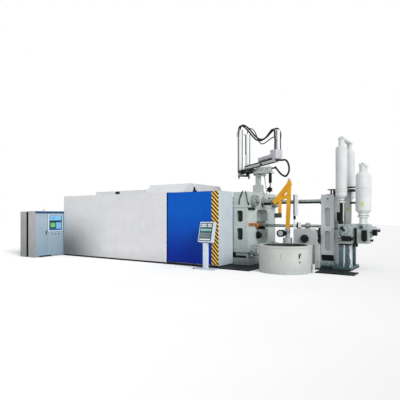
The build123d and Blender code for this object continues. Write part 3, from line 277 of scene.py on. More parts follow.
def enamel(name, coat, shade, roughness, dirt_and_shade="#6f6a60", dirt_and_shade_share=0.25, peel_mm=6.0, dirt_and_shade_top=0.45,
           specular=0.5):
    """Two-pack machine enamel, sprayed over primer: small colour drift, orange peel and a darker foot of
    floor dirt and painted shade.

    The colour drifts over about 400 mm, the orange peel is drawn coarser than real so that it shows, and the
    foot is darkened up to dirt_and_shade_top: by dust and splashes where the share is small, and by painted
    shade where it is large. Edges read as broken by a 4 mm radius.
    """
    made = new_finish(name)
    where = add(made, "ShaderNodeTexCoord").outputs["Object"]
    drift = add(made, "ShaderNodeTexNoise", values={"Scale": 2.5, "Detail": 5.0, "Roughness": 0.6},
                links={"Vector": where})
    tone = add(made, "ShaderNodeValToRGB", links={"Fac": drift.outputs["Fac"]})
    ramp(tone, [(0.3, shade), (0.62, coat)])
    height = add(made, "ShaderNodeSeparateXYZ", links={"Vector": where})
    low = add(made, "ShaderNodeMapRange",
              values={"From Min": 0.0, "From Max": dirt_and_shade_top, "To Min": dirt_and_shade_share, "To Max": 0.0},
              links={"Value": height.outputs["Z"]})
    speck = add(made, "ShaderNodeTexNoise", values={"Scale": 14.0, "Detail": 8.0, "Roughness": 0.7},
                links={"Vector": where})
    # Toward the foot the colour is mixed with dust, and with painted shade where the share is large.
    grime_and_shade = add(made, "ShaderNodeMath", settings={"operation": "MULTIPLY"},
                links={0: low.outputs["Result"], 1: speck.outputs["Fac"]})
    mixed = add(made, "ShaderNodeMix", settings={"data_type": "RGBA"}, values={"B": linear(dirt_and_shade)},
                links={"Factor": grime_and_shade.outputs["Value"], "A": tone.outputs["Color"]})
    peel = add(made, "ShaderNodeTexNoise", values={"Scale": 1000.0 / peel_mm, "Detail": 2.0},
               links={"Vector": where})
    rounded = add(made, "ShaderNodeBevel", settings={"samples": 4}, values={"Radius": 0.004})
    relief = add(made, "ShaderNodeBump", values={"Strength": 0.12, "Distance": 0.001},
                 links={"Height": peel.outputs["Fac"], "Normal": rounded.outputs["Normal"]})
    gloss = add(made, "ShaderNodeMapRange",
                values={"From Min": 0.3, "From Max": 0.7,
                        "To Min": roughness - 0.06, "To Max": roughness + 0.1},
                links={"Value": speck.outputs["Fac"]})
    coatwork = add(made, "ShaderNodeBsdfPrincipled", values={"IOR": 1.5, "Specular IOR Level": specular},
                   links={"Base Color": mixed.outputs["Result"], "Roughness": gloss.outputs["Result"],
                          "Normal": relief.outputs["Normal"]})
    add(made, "ShaderNodeOutputMaterial", links={"Surface": coatwork.outputs["BSDF"]})
    return made


def dress(material, *names):
    """Give carried-over nodes their real finish."""
    for name in names:
        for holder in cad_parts[name].material_slots:
            holder.material = material


dark_enamel = enamel("dark_green_black_enamel", "#121b1e", "#0a1114", 0.5, dirt_and_shade="#2c2c28", dirt_and_shade_share=0.3,
                     specular=0.15)
dress(dark_enamel, "floor_tray", "machine_bed", "guard_plinth")

# Guard frame and door rails: square steel tube, mitred and welded, powder-coated dark grey. The rails are
# rolled channel screwed under the top tube.
frame_enamel = enamel("dark_grey_powder_coat", "#2d3338", "#23282c", 0.5)
dress(frame_enamel, "guard_frame", "door_rails")

# Guard panels: 2 mm sheet steel trays with folded returns, hung on the frame and powder-coated light grey. A
# pale strip closes the edge beside the door, screws hold the trays, and painted shade darkens the low far
# corner.
hard = 0.0001  # the width in metres of an edge in the paint that reads as sharp


def past(material, *edges, of_normal=False, eased=False):
    """A mask that is 1 beyond every edge given: an axis, where it starts and where it is full."""
    where = (add(material, "ShaderNodeNewGeometry").outputs["Normal"] if of_normal
             else add(material, "ShaderNodeTexCoord").outputs["Object"])
    spread = add(material, "ShaderNodeSeparateXYZ", links={"Vector": where})
    mask = None
    for axis, start, full in edges:
        reach = add(material, "ShaderNodeMapRange",
                    settings={"interpolation_type": "SMOOTHSTEP" if eased else "LINEAR"},
                    values={"From Min": start, "From Max": full, "To Min": 0.0, "To Max": 1.0},
                    links={"Value": spread.outputs[axis]}).outputs["Result"]
        mask = reach if mask is None else add(material, "ShaderNodeMath", settings={"operation": "MULTIPLY"},
                                              links={0: mask, 1: reach}).outputs["Value"]
    return mask


def overlay(material, colour, mask):
    """Lay a second colour, a hex code or a node's output, over a finish where a mask is 1."""
    shader = next(node for node in material.node_tree.nodes if node.type == "BSDF_PRINCIPLED")
    painted = isinstance(colour, str)
    links = {"Factor": mask, "A": shader.inputs["Base Color"].links[0].from_socket}
    mixed = add(material, "ShaderNodeMix", settings={"data_type": "RGBA"},
                values={"B": linear(colour)} if painted else None,
                links=links if painted else {**links, "B": colour})
    material.node_tree.links.new(mixed.outputs["Result"], shader.inputs["Base Color"])


def plates(form, *spans, place=lambda x, y, z: Vector((x, y, z))):
    """Add square-edged blocks, each from its limits in x, in y and in z, in the frame that place gives."""
    for x0, x1, y0, y1, z0, z1 in spans:
        made = [form.verts.new(place(x, y, z)) for x in (x0, x1) for y in (y0, y1) for z in (z0, z1)]
        for face in ((0, 1, 3, 2), (4, 6, 7, 5), (0, 4, 5, 1), (2, 3, 7, 6), (0, 2, 6, 4), (1, 5, 7, 3)):
            form.faces.new([made[corner] for corner in face])
    return form


def turned_bar(form, start, end, steps, sides=32):
    """Add a lathe-turned shape along an axis, from pairs of (share of the length, radius)."""
    start, end = Vector(start), Vector(end)
    along = (end - start).normalized()
    across = along.orthogonal().normalized()
    return skin(form, [ring_points(start + (end - start) * share, across, along.cross(across), radius, sides)
                       for share, radius in steps])


def peg(form, start, end, radius, tip=None, full=0.0, sides=16):
    """Add a turned peg: straight, or narrowing to a tip past the full share of its length."""
    steps = [(0, radius)] + ([(full, radius)] if full else []) + [(1, radius if tip is None else tip)]
    return turned_bar(form, start, end, steps, sides)


panel_coat = enamel("light_grey_powder_coat", "#e3e3e4", "#dbdcde", 0.42, dirt_and_shade="#85868a", dirt_and_shade_share=0.5)
# Painted shade: the low far corner of the panels is painted a darker grey.
overlay(panel_coat, "#686c70", past(panel_coat, ("X", -4.6, -7.4), ("Z", 2.0, 0.2), eased=True))
dress(panel_coat, "guard_panels")
strip_coat = enamel("white_edge_strip_enamel", "#e6e9ee", "#dfe3e8", 0.35)
# Bright zinc plate reads as pale grey metal with a fine spangle.
zinc = bare_finish("bright_zinc_plate", [(0.35, "#8c9092"), (0.65, "#b3b7b9")], (60.0, 3.0),
                   {"Metallic": 0.9, "Roughness": 0.38})

panel_low, panel_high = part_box("guard_panels")
strip_proud, screw_proud, screw_inset = 0.004, 0.006, 0.055
screw_steps = [(0, 0.011), (0.5, 0.010), (1, 0.005)]
form = bmesh.new()
for face_y, out in ((panel_low.y, -1), (panel_high.y, 1)):
    plates(form, (panel_high.x - 0.078, panel_high.x - 0.004, face_y, face_y + out * strip_proud,
                  0.075, panel_high.z - 0.012))
piece("panel_edge_strips", form, strip_coat, bevel=0.0012)
form = bmesh.new()
for height in (panel_low.z + screw_inset, panel_high.z - screw_inset):
    for spot in [panel_low.x + 0.10 + count * 0.385 for count in range(14)]:
        for face_y, out in ((panel_low.y, -1), (panel_high.y, 1)):
            turned_bar(form, (spot, face_y, height), (spot, face_y + out * screw_proud, height),
                       screw_steps, 12)
    for spot in [panel_low.y + 0.15 + count * 0.46 for count in range(10)]:
        turned_bar(form, (panel_low.x, spot, height), (panel_low.x - screw_proud, spot, height),
                   screw_steps, 12)
piece("panel_screws", form, zinc, smooth=50)
form = plates(bmesh.new(), (-3.19, -3.05, panel_low.y - 0.003, panel_low.y, 1.31, 1.41))
piece("blank_rating_plate", form, strip_coat, bevel=0.001)

# Safety doors: flat sheet steel boxes on two hangers each, powder-coated signal blue with painted shade
# darkening them low down, and the common amber and black hazard band in vinyl on the edge that closes, its
# bands 66 mm high.
band_height, amber_height, band_edge = 0.066, 0.032, -0.236
door_coat = enamel("signal_blue_powder_coat", "#005cc6", "#0057bf", 0.4, dirt_and_shade="#101a44", dirt_and_shade_share=0.4,
                   specular=0.12)
# Painted shade: the blue is painted darker toward the bottom of the doors.
overlay(door_coat, "#002b98", past(door_coat, ("Z", 1.9, 0.15), eased=True))
where = add(door_coat, "ShaderNodeTexCoord").outputs["Object"]
spread = add(door_coat, "ShaderNodeSeparateXYZ", links={"Vector": where})
slant = add(door_coat, "ShaderNodeMath", settings={"operation": "ADD"},
            links={0: spread.outputs["X"], 1: spread.outputs["Z"]})
beat = add(door_coat, "ShaderNodeMath", settings={"operation": "PINGPONG"}, values={1: band_height},
           links={0: slant.outputs["Value"]})
amber_part = add(door_coat, "ShaderNodeMath", settings={"operation": "GREATER_THAN"},
                 values={1: band_height - amber_height}, links={0: beat.outputs["Value"]})
vinyl = add(door_coat, "ShaderNodeMix", settings={"data_type": "RGBA"},
            values={"A": linear("#0c0906"), "B": linear("#ffcf62")},
            links={"Factor": amber_part.outputs["Value"]})
overlay(door_coat, vinyl.outputs["Result"], past(door_coat, ("X", band_edge, band_edge + hard)))
dress(door_coat, "safety_door_front", "safety_door_rear")

# End walls and roof: pale grey-blue sheet trays, folded and screwed to the frame. The wall beside the platen
# catches the light of the shop, so it reads paler than the side.
# Toward the floor the wall is darkened by dust and painted shade.
wall_coat = enamel("pale_blue_grey_powder_coat", "#ccd6de", "#c0ccd4", 0.4, dirt_and_shade="#6d8890", dirt_and_shade_share=0.9)
dress(wall_coat, "end_walls")
roof_coat = enamel("pale_grey_powder_coat", "#dfe1e4", "#d5d8db", 0.42)
dress(roof_coat, "roof_covers", "raised_hood")
hood_low, hood_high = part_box("raised_hood")
hood_profile = [(-1.500, 2.490), (-1.100, 2.870), (1.100, 2.870), (1.500, 2.490)]
seam_width, seam_height = 0.018, 0.010
form = bmesh.new()
for (y0, z0), (y1, z1) in zip(hood_profile, hood_profile[1:]):
    run = Vector((0, y1 - y0, z1 - z0))
    rise = Vector((0, -run.z, run.y)).normalized()
    plates(form, *((seam_x, seam_x + seam_width, 0, 1, 0, seam_height)
                   for seam_x in (hood_low.x + 0.004, (hood_low.x + hood_high.x) / 2, hood_high.x - 0.022)),
           place=lambda x, share, lift: Vector((x, y0, z0)) + run * share + rise * lift)
piece("hood_standing_seams", form, roof_coat, bevel=0.002)

# Black services on the roof and the door lock: painted steel fittings with zinc union nuts, and a cast
# switch housing on its foot.
black_coat = enamel("black_machine_enamel", "#121315", "#0c0d0f", 0.5, dirt_and_shade="#3c3b38", dirt_and_shade_share=0.3,
                    specular=0.15)
dress(black_coat, "roof_fittings", "lock_bracket")
fit_low, fit_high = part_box("roof_fittings")
fit_middle = (fit_low.y + fit_high.y) / 2
form = bmesh.new()
for share in (0.25, 0.5, 0.75):
    centre_x = fit_low.x + (fit_high.x - fit_low.x) * share
    turned_bar(form, (centre_x, fit_middle, fit_high.z - 0.03), (centre_x, fit_middle, fit_high.z - 0.005),
               [(0, 0.052), (0.3, 0.056), (0.7, 0.056), (1, 0.050)], 6)
piece("roof_union_nuts", form, zinc, bevel=0.002)

# Platens: ductile iron castings, shot-blasted, filled and sprayed pale grey-green, with machined joint faces.
# Dark plates set in the cored side windows are painted shade for the windows' depth. Zinc-plated hexagon
# screws hold the ledge, the foot and the base.
x_way, y_way, z_way = Vector((1, 0, 0)), Vector((0, 1, 0)), Vector((0, 0, 1))


def bolt_heads(form, places, outward, across_flats, washer=True):
    """Add hexagon heads in the usual proportions, each on its washer, standing off a face."""
    rise = across_flats * 0.16 if washer else 0.0
    for seat in map(Vector, places):
        if washer:
            peg(form, seat, seat + outward * rise, across_flats * 0.85, across_flats * 0.8)
        peg(form, seat + outward * rise, seat + outward * (rise + across_flats * 0.62), across_flats * 0.577,
            across_flats * 0.48, 0.82, 6)
    return form


# Toward the floor, up to about 1.15 m, the casting turns teal with dust and painted shade.
cast_coat = enamel("grey_green_casting_enamel", "#c4cecb", "#b4c0bd", 0.42, dirt_and_shade="#35565a", dirt_and_shade_share=1.2,
                   peel_mm=14.0, dirt_and_shade_top=1.15)
dress(cast_coat, "stationary_platen", "moving_platen", "end_platen")
# Painted shade: dark plates in the side windows stand in for the shade in their depth.
window_shade_coat = enamel("dark_painted_window_shade", "#26312f", "#18201f", 0.6)
form = bmesh.new()
for side in (-1, 1):
    for low_z, high_z in ((0.862, 1.258), (1.472, 1.848)):
        plates(form, (0.128, 0.354, side * 1.055, side * 1.020, low_z, high_z),
               (0.205, 0.235, side * 1.100, side * 1.058, low_z + 0.03, high_z - 0.04),
               (0.300, 0.345, side * 1.130, side * 1.058, low_z + 0.10, high_z - 0.06))
piece("window_shade_plates", form, window_shade_coat, bevel=0.004)
form = bolt_heads(bmesh.new(), [(0.59, y, z) for y in (-0.56, -0.46, 0.46, 0.56) for z in (2.13, 2.32)],
                  x_way, 0.046)
bolt_heads(form, [(x, y, 0.34) for x in (0.60, 0.66) for y in (-1.05, -0.75, 0.75, 1.05)], z_way, 0.046)
for side in (-1, 1):
    bolt_heads(form, [(x, side * 1.19, z) for x in (0.07, 0.18, 0.29, 0.40, 0.50) for z in (0.12, 0.20)],
               y_way * side, 0.034)
piece("platen_screws", form, zinc, smooth=50)

# Services on the operator's corner of the platen: an orange lifting bracket beside the die, a ribbed black
# motor in the arch, black strips and plugs, and black cables that drop from the top. All are bought parts,
# screwed on.
bracket_coat = enamel("orange_bracket_enamel", "#c8761c", "#b4640f", 0.4, dirt_and_shade="#4a2c10", dirt_and_shade_share=0.2)
outline = [(-1.08, 1.345), (-1.08, 1.425), (-0.42, 1.425), (-0.35, 1.375), (-0.49, 1.24), (-0.59, 1.345)]
form = skin(bmesh.new(), [[(x, y, z) for y, z in outline] for x in (0.585, 0.532)])
piece("lifting_bracket", form, bracket_coat, bevel=0.006)
form = plates(bmesh.new(), (0.532, 0.575, -1.13, -0.66, 1.87, 1.945),
              (0.57, 0.584, -0.62, -0.43, 2.07, 2.098),
              (0.57, 0.584, -0.62, -0.43, 2.312, 2.342), (0.57, 0.574, -0.68, -0.635, 2.05, 2.37),
              (0.04, 0.49, -1.173, -1.169, 0.262, 0.335), (0.04, 0.49, 1.173, 1.169, 0.262, 0.335),
              (0.3, 0.52, -0.455, -0.345, 0.86, 0.89), (0.535, 0.585, -1.178, -1.13, 2.015, 2.115))
for spot_y in (-0.99, -0.86, -0.64):
    peg(form, (0.585, spot_y, 1.39), (0.6, spot_y, 1.39), 0.026, 0.020, 0.7, 20)
motor_back = Vector((0.3, -0.4, 1.0))
motor_steps = [(0, 0.135), (0.12, 0.135), (0.14, 0.118), (0.8, 0.118), (0.82, 0.09), (0.92, 0.085), (1, 0.04)]
turned_bar(form, motor_back, motor_back + x_way * 0.4, motor_steps, 36)
for rib in ring_points(motor_back + x_way * 0.06, y_way, z_way, 0.121, 18):
    peg(form, rib, rib + x_way * 0.24, 0.006, sides=6)
piece("platen_services", form, black_coat, bevel=0.004)
form = bmesh.new()
for spots in ([(0.36, -1.130, 2.515), (0.37, -1.186, 2.500), (0.33, -1.192, 2.400), (0.25, -1.192, 2.240),
               (0.225, -1.192, 2.110), (0.235, -1.192, 2.055)],
              [(0.45, -1.120, 2.515), (0.46, -1.186, 2.490), (0.50, -1.192, 2.380), (0.53, -1.196, 2.250),
               (0.56, -1.200, 2.150), (0.56, -1.180, 2.090)],
              [(0.33, -1.120, 2.500), (0.345, -1.184, 2.480), (0.30, -1.190, 2.390), (0.26, -1.190, 2.300),
               (0.24, -1.190, 2.200), (0.243, -1.190, 2.055)]):
    ribbed_tube(form, centreline("platen_cable", spots, 0.012), 0.0125)
piece("platen_cables", form, conduit, smooth=60)

# Tie bars and their nuts: forged chromium steel, ground and hard-chromed; the split nuts are blued steel
# rings with socket screws, left oily, which reads as grey-green beside the platen. The chrome mirrors with a
# faint grain.
chrome = bare_finish("ground_hard_chrome", [(0.3, "#98a09f"), (0.7, "#b8bfbe")], (5.0, 4.0),
                     {"Metallic": 1.0}, gloss=(0.16, 0.34))
dress(chrome, "tie_bars", "plunger_rod")
ring_coat = enamel("oiled_nut_enamel", "#a2adaa", "#8c9996", 0.36, dirt_and_shade="#2c3836", dirt_and_shade_share=0.6)
dress(ring_coat, "tie_bar_nuts")
form = bmesh.new()
for nut in [Vector((0.6, y, z)) for y in (-0.85, 0.85) for z in (0.5, 2.17)]:
    for seat in ring_points(nut + x_way * 0.14, y_way, z_way, 0.158, 8, 0.5):
        peg(form, seat, seat + x_way * 0.016, 0.0165, 0.012, 0.8)
    for seat in ring_points(nut, y_way, z_way, 0.1905, 12):
        peg(form, seat, seat + x_way * 0.07, 0.007, sides=8)
piece("nut_ring_screws", form, black_coat, smooth=50)

# Sprayer pedestal and its turning plate: welded plate, stress-relieved and sprayed pale grey, bolted to the
# top of the platen. The tiller screw below clamps the turning block; its cylinder and star wheel are black.
pedestal_coat = enamel("pale_grey_green_enamel", "#cdd5d4", "#bec8c6", 0.4)
dress(pedestal_coat, "sprayer_pedestal")
dress(black_coat, "clamp_screw", "sprayer_rail")
form = bolt_heads(bmesh.new(), [(x, y, 2.52) for x in (0.26, 0.54) for y in (-0.18, 0.08)], z_way, 0.034)
bolt_heads(form, [(x, y, 3.24) for x in (0.40, 0.62, 0.86) for y in (-0.212, 0.112)], z_way, 0.030)
bolt_heads(form, [(x, -0.17, 3.32) for x in (0.44, 0.62, 0.80)], -y_way, 0.036)
piece("pedestal_screws", form, zinc, smooth=50)
form = plates(bmesh.new(), (0.475, 0.64, -0.19, 0.09, 3.085, 3.17),
              (0.296, 0.325, -0.23, -0.06, 3.105, 3.262))
piece("pedestal_brackets", form, pedestal_coat, bevel=0.004)
form = plates(bmesh.new(), (0.48, 0.6, -0.2, -0.188, 3.12, 3.145))
for spot_z in (3.14, 3.225):
    peg(form, (0.31, -0.23, spot_z), (0.31, -0.248, spot_z), 0.017, 0.012, 0.7)
piece("pedestal_bracket_screws", form, black_coat, smooth=50)

# Sprayer beam: a rectangular aluminium extrusion, clear anodised, with a black-painted rail on top and a
# black rack strip screwed under it. T-slots run along both sides. The anodising is silky, with the die's
# fine lines along it.
drawn_tones = [(0.3, "#c3c7c8"), (0.7, "#d3d7d8")]
drawn_metal = {"Metallic": 0.4, "Roughness": 0.42}
anodised, column_anodised = (
    bare_finish(name, drawn_tones, (1.0, 4.0), drawn_metal, stretch=stretch, edge=0.003)
    for name, stretch in (("clear_anodised_beam", (0.3, 0.3, 120.0)),
                          ("clear_anodised_column", (140.0, 140.0, 0.4))))
dress(anodised, "sprayer_beam")
dress(column_anodised, "spray_arm")
form = plates(bmesh.new(), (-0.28, 1.62, -0.176, -0.12, 3.378, 3.4), (0.6, 0.74, -0.19, -0.17, 3.405, 3.462),
              place=on_beam)
for slot_u in [-0.22 + step * 0.185 for step in range(10)]:
    plates(form, (slot_u, slot_u + 0.12, -0.173, -0.17, 3.43, 3.446),
           (slot_u, slot_u + 0.12, 0.01, 0.013, 3.43, 3.446), place=on_beam)
piece("beam_rack_strip", form, black_coat, bevel=0.001)
pale_hose = [(1.020, -0.560, 3.385), (1.075, -0.500, 3.330), (1.060, -0.380, 3.240), (0.985, -0.280, 3.200),
             (0.900, -0.230, 3.225)]
form = ribbed_tube(bmesh.new(), centreline("pale_hose", pale_hose, 0.010), 0.012)
piece("pale_hose", form, cast_coat, smooth=60)

# Sprayer covers: folded sheet steel in two heights and an end box, sprayed grey. The folds are open at the
# ends and a dark slot is left where the two heights meet; the hose post on the end box is anodised tube.
cover_coat = enamel("mid_grey_cover_enamel", "#c2c2ca", "#b4b4bd", 0.4)
dress(cover_coat, "sprayer_cover")
dress(anodised, "hose_post")
form = plates(bmesh.new(), (0.496, 0.5, -0.188, 0.028, 3.552, 3.648), (0.54, 1.4, -0.202, -0.2, 3.548, 3.56),
              (1.427, 1.43, -0.188, 0.028, 3.672, 3.778), (0.955, 0.962, -0.202, -0.2, 3.56, 3.655),
              place=on_beam)
piece("cover_slots", form, black_coat)
screw_spots = [on_beam(u, -0.2, 3.63) for u in (0.55, 0.92, 1.0, 1.38)]
screw_spots += [on_beam(u, -0.2, z) for u in (1.46, 1.55) for z in (3.58, 3.76)]
form = bolt_heads(bmesh.new(), screw_spots, -beam_cross, 0.018)
piece("cover_screws", form, zinc, smooth=50)

# Carriage, arm and spray head: the carriage is an olive-black casting with black drives on it and two
# anodised lifting columns with black rack strips. The head is a pale grey plate, black along its lower edge,
# with copper tips.
carriage_coat = enamel("olive_black_enamel", "#3a3d36", "#2a2d28", 0.42)
dress(carriage_coat, "sprayer_carriage")
head_coat = enamel("pale_grey_head_enamel", "#c6cbce", "#b6bcc0", 0.45)
overlay(head_coat, "#17191a", past(head_coat, ("Z", 3.174, 3.174 - hard)))
dress(head_coat, "spray_head")
form = plates(bmesh.new(), (-0.92, -0.36, -0.215, -0.165, 3.236, 3.27),
              (-0.92, -0.36, -0.02, 0.03, 3.236, 3.27),
              (-0.9, -0.62, -0.335, -0.252, 3.285, 3.385), (-0.56, -0.36, -0.3, -0.252, 3.3, 3.372),
              place=on_beam)
peg(form, on_beam(-0.46, -0.16, 3.236), on_beam(-0.46, -0.16, 3.12), 0.055, 0.040, 0.9, 28)
piece("carriage_drives", form, black_coat, bevel=0.004)
form = bolt_heads(bmesh.new(), [on_beam(u, -0.252, z) for u in (-0.345, -0.325) for z in (3.3, 3.37)],
                  -beam_cross, 0.018)
piece("carriage_screws", form, zinc, smooth=50)
form = plates(bmesh.new(), (-1.046, -0.954, -0.3215, -0.3175, 3.3, 4.94),
              (-1.046, -0.954, -0.0115, -0.0075, 4.0, 4.79), (-1.095, -1.05, 0.04, 0.11, 3.56, 3.66),
              place=on_beam)
for low_v, high_v, top in ((-0.3175, -0.1525, 4.945), (-0.0075, 0.1575, 4.795)):
    plates(form, (-1.053, -1.05, low_v + 0.06, low_v + 0.105, 3.3, top),
           (-0.95, -0.9475, high_v - 0.034, high_v - 0.004, 3.3, top),
           (-0.95, -0.948, low_v + 0.018, low_v + 0.026, 3.3, top), place=on_beam)
piece("arm_rack_strips", form, black_coat, "spray_lift", bevel=0.001)
form = plates(bmesh.new(), (-0.95, -0.925, 0.01, 0.09, 3.5, 3.64), place=on_beam)
piece("arm_switch_box", form, cover_coat, "spray_lift", bevel=0.004)
# Copper tube reads brown where it is heat-stained.
copper = bare_finish("copper_tube", [(0.3, "#5a3420"), (0.7, "#9a5f3c")], (40.0, 4.0),
                     {"Metallic": 1.0, "Roughness": 0.4})
form = bmesh.new()
for tip_v in (-0.2868, 0.1268):
    peg(form, on_beam(-1.0, tip_v, 3.09), on_beam(-1.0, tip_v, 3.062), 0.011, 0.007, 0.6, 12)
piece("nozzle_tips", form, copper, "spray_lift", smooth=50)

# Holding furnace: a rolled and welded steel shell in grey-beige heat-proof enamel, with a cast rim over a
# refractory bath that holds the metal. The bath is dark; a toggle latch and a white service post stand at
# the side.
furnace_x, furnace_y, lining_reach = 2.05, -1.64, 0.655


def within(material, centre, reach):
    """A mask that is 1 within a reach of an upright axis."""
    where = add(material, "ShaderNodeTexCoord").outputs["Object"]
    for kind, way in (("SUBTRACT", (*centre, 0.0)), ("MULTIPLY", (1.0, 1.0, 0.0))):
        where = add(material, "ShaderNodeVectorMath", settings={"operation": kind}, values={1: way},
                    links={0: where}).outputs["Vector"]
    span = add(material, "ShaderNodeVectorMath", settings={"operation": "LENGTH"}, links={0: where})
    return add(material, "ShaderNodeMath", settings={"operation": "LESS_THAN"}, values={1: reach},
               links={0: span.outputs["Value"]}).outputs["Value"]


def beside_furnace(degrees, reach, height):
    """A place around the furnace's upright axis."""
    turn = math.radians(degrees)
    return Vector((furnace_x + reach * math.cos(turn), furnace_y + reach * math.sin(turn), height))


furnace_coat = enamel("grey_beige_furnace_enamel", "#c6cac7", "#b9bdb9", 0.48, dirt_and_shade="#9aa2a4", dirt_and_shade_share=0.9,
                      peel_mm=10.0)
rough_brick = add(furnace_coat, "ShaderNodeTexNoise", values={"Scale": 18.0, "Detail": 8.0},
                  links={"Vector": add(furnace_coat, "ShaderNodeTexCoord").outputs["Object"]})
brick = add(furnace_coat, "ShaderNodeValToRGB", links={"Fac": rough_brick.outputs["Fac"]})
ramp(brick, [(0.3, "#232625"), (0.7, "#454744")])
overlay(furnace_coat, brick.outputs["Color"], within(furnace_coat, (furnace_x, furnace_y), lining_reach))
dress(furnace_coat, "furnace")
# The melt's skin of oxide is a dull, wrinkled grey.
melt = bare_finish("oxide_skinned_melt", [(0.35, "#3a3d3e"), (0.65, "#74797a")], (6.0, 8.0, 0.7),
                   {"Metallic": 0.8, "Roughness": 0.5}, crust=(0.3, 0.01))
form = peg(bmesh.new(), (furnace_x, furnace_y, 0.381), (furnace_x, furnace_y, 0.44), 0.648, sides=96)
piece("melt_bath", form, melt, smooth=40)
form = bmesh.new()
for turn, low_z, high_z, thick in ((-39, 0.47, 0.58, 0.016), (-36.5, 0.56, 0.6, 0.014),
                                   (-38, 0.345, 0.375, 0.018)):
    peg(form, beside_furnace(turn, 0.8, low_z), beside_furnace(turn, 0.8, high_z), thick)
piece("furnace_lid_latch", form, black_coat, smooth=50)
foot, neck, cap = (Vector((2.9, -1.6, height)) for height in (0.0, 0.235, 0.262))
form = turned_bar(bmesh.new(), foot, neck, [(0, 0.044), (0.06, 0.044), (0.061, 0.030), (1, 0.030)], 24)
peg(form, neck, cap, 0.036, 0.030, sides=24)
piece("furnace_service_post", form, strip_coat, bevel=0.002)
form = bmesh.new()
for height in (0.30, 0.62):
    seat = beside_furnace(-62, 0.776, height)
    peg(form, seat, seat + Vector((0.004, -0.008, 0)), 0.016, 0.012, sides=12)
piece("furnace_rivets", form, zinc, smooth=50)

# Ladler: a cast base and column in grey, a geared drive with a black motor, and a linkage of 60 mm steel
# straps painted amber and grey at the top joint, with painted shade making the faces that look down browner.
# The ladle is a thin cast-iron cup, caked with soot.
ladler_grey = enamel("pale_grey_ladler_enamel", "#b3bcc0", "#a1abb0", 0.42)
dress(ladler_grey, "ladler_post")
dress(black_coat, "ladler_drive")
amber_coat = enamel("amber_yellow_enamel", "#ffc02e", "#f0a81c", 0.4, dirt_and_shade="#8a4a08", dirt_and_shade_share=0.1,
                    specular=0.2)
# Painted shade: the faces that look down are painted a browner amber.
overlay(amber_coat, "#a05c0a", past(amber_coat, ("Z", 0.1, -0.5), of_normal=True))
overlay(amber_coat, "#c6cad0", past(amber_coat, ("Z", 2.838, 2.838 + hard)))
dress(amber_coat, "ladler_arm")
soot = bare_finish("sooted_cast_iron", [(0.3, "#1f2021"), (0.7, "#4a4a49")], (25.0, 8.0),
                   {"Roughness": 0.75, "IOR": 1.5}, crust=(0.25, 0.002))
dress(soot, "ladle")
form = peg(bmesh.new(), (1.565, -0.85, 1.1), (1.565, -0.862, 1.1), 0.088, 0.080, 0.6, 32)
piece("drive_end_cap", form, ladler_grey, smooth=50)

# Probe box: a folded steel trunk for the furnace's level probe, closed with screws and sprayed in pale
# enamel. A dark slot runs down one side.
dress(strip_coat, "probe_box")
form = plates(bmesh.new(), (1.9125, 1.915, -0.612, -0.508, 1.7, 2.355),
              (1.92, 1.958, -0.6222, -0.62, 1.7, 2.355),
              (1.912, 1.962, -0.606, -0.514, 1.56, 1.68))
piece("probe_box_slot", form, black_coat)

# C-frame column of the shot end: a ductile iron casting with cored pockets, sprayed blue-grey over a dark
# band at the foot, with turned boss rings, a black bracket and struts on top and zinc foot screws. The
# support is dark teal.
# Above the dark foot band the column turns teal toward the floor with dust and painted shade.
column_coat = enamel("blue_grey_casting_enamel", "#cfd6d6", "#c0c9ca", 0.4, dirt_and_shade="#1f4650", dirt_and_shade_share=1.7,
                     peel_mm=14.0, dirt_and_shade_top=0.55)
overlay(column_coat, "#16383f", past(column_coat, ("Z", 0.105, 0.105 - hard)))
dress(column_coat, "shot_column")
# The support darkens toward the floor with dust and painted shade.
support_coat = enamel("dark_teal_casting_enamel", "#66818a", "#4a656d", 0.45, dirt_and_shade="#16323a", dirt_and_shade_share=1.4,
                      dirt_and_shade_top=0.6, specular=0.3)
dress(support_coat, "injection_support")
form = bmesh.new()
for side in (-1, 1):
    turned_bar(form, (2.955, side * 0.37, 2.21), (2.955, side * 0.378, 2.21),
               [(0, 0.075), (0.6, 0.072), (1, 0.060)])
piece("column_boss_rings", form, column_coat, bevel=0.002)
form = plates(bmesh.new(), (2.9, 3.14, -0.33, 0.33, 2.35, 2.362), (2.93, 3.15, -0.3, -0.18, 2.492, 2.52),
              (3.015, 3.04, -0.3, -0.18, 2.362, 2.492), (3.1, 3.15, -0.31, -0.17, 2.362, 2.5))
for side in (-1, 1):
    peg(form, (3.11, side * 0.31, 2.36), (3.275, side * 0.43, 2.25), 0.026, sides=12)
    plates(form, (2.757, 3.146, side * 0.3735, side * 0.369, 0.258, 0.44))
peg(form, (2.955, -0.381, 2.21), (2.955, -0.378, 2.21), 0.022, sides=24)
piece("column_top_bracket", form, black_coat, bevel=0.003)
form = bmesh.new()
for side in (-1, 1):
    bolt_heads(form, [(x, side * 0.41, 0.18) for x in (2.79, 2.94, 3.09)], y_way * side, 0.050)
piece("column_foot_screws", form, zinc, smooth=50)

# Upper tie rod: turned and ground steel between the platen and the column, with a screwed flange at one end
# and a stepped collar at the other. Its underside is painted nearly black: a little oil, with painted shade
# and a painted reflection of the dark machine below.
rod_steel = bare_finish("ground_steel_rod", [(0.3, "#8d9593"), (0.7, "#b4bbb9")], (8.0, 6.0),
                        {"Metallic": 0.6, "Roughness": 0.36})
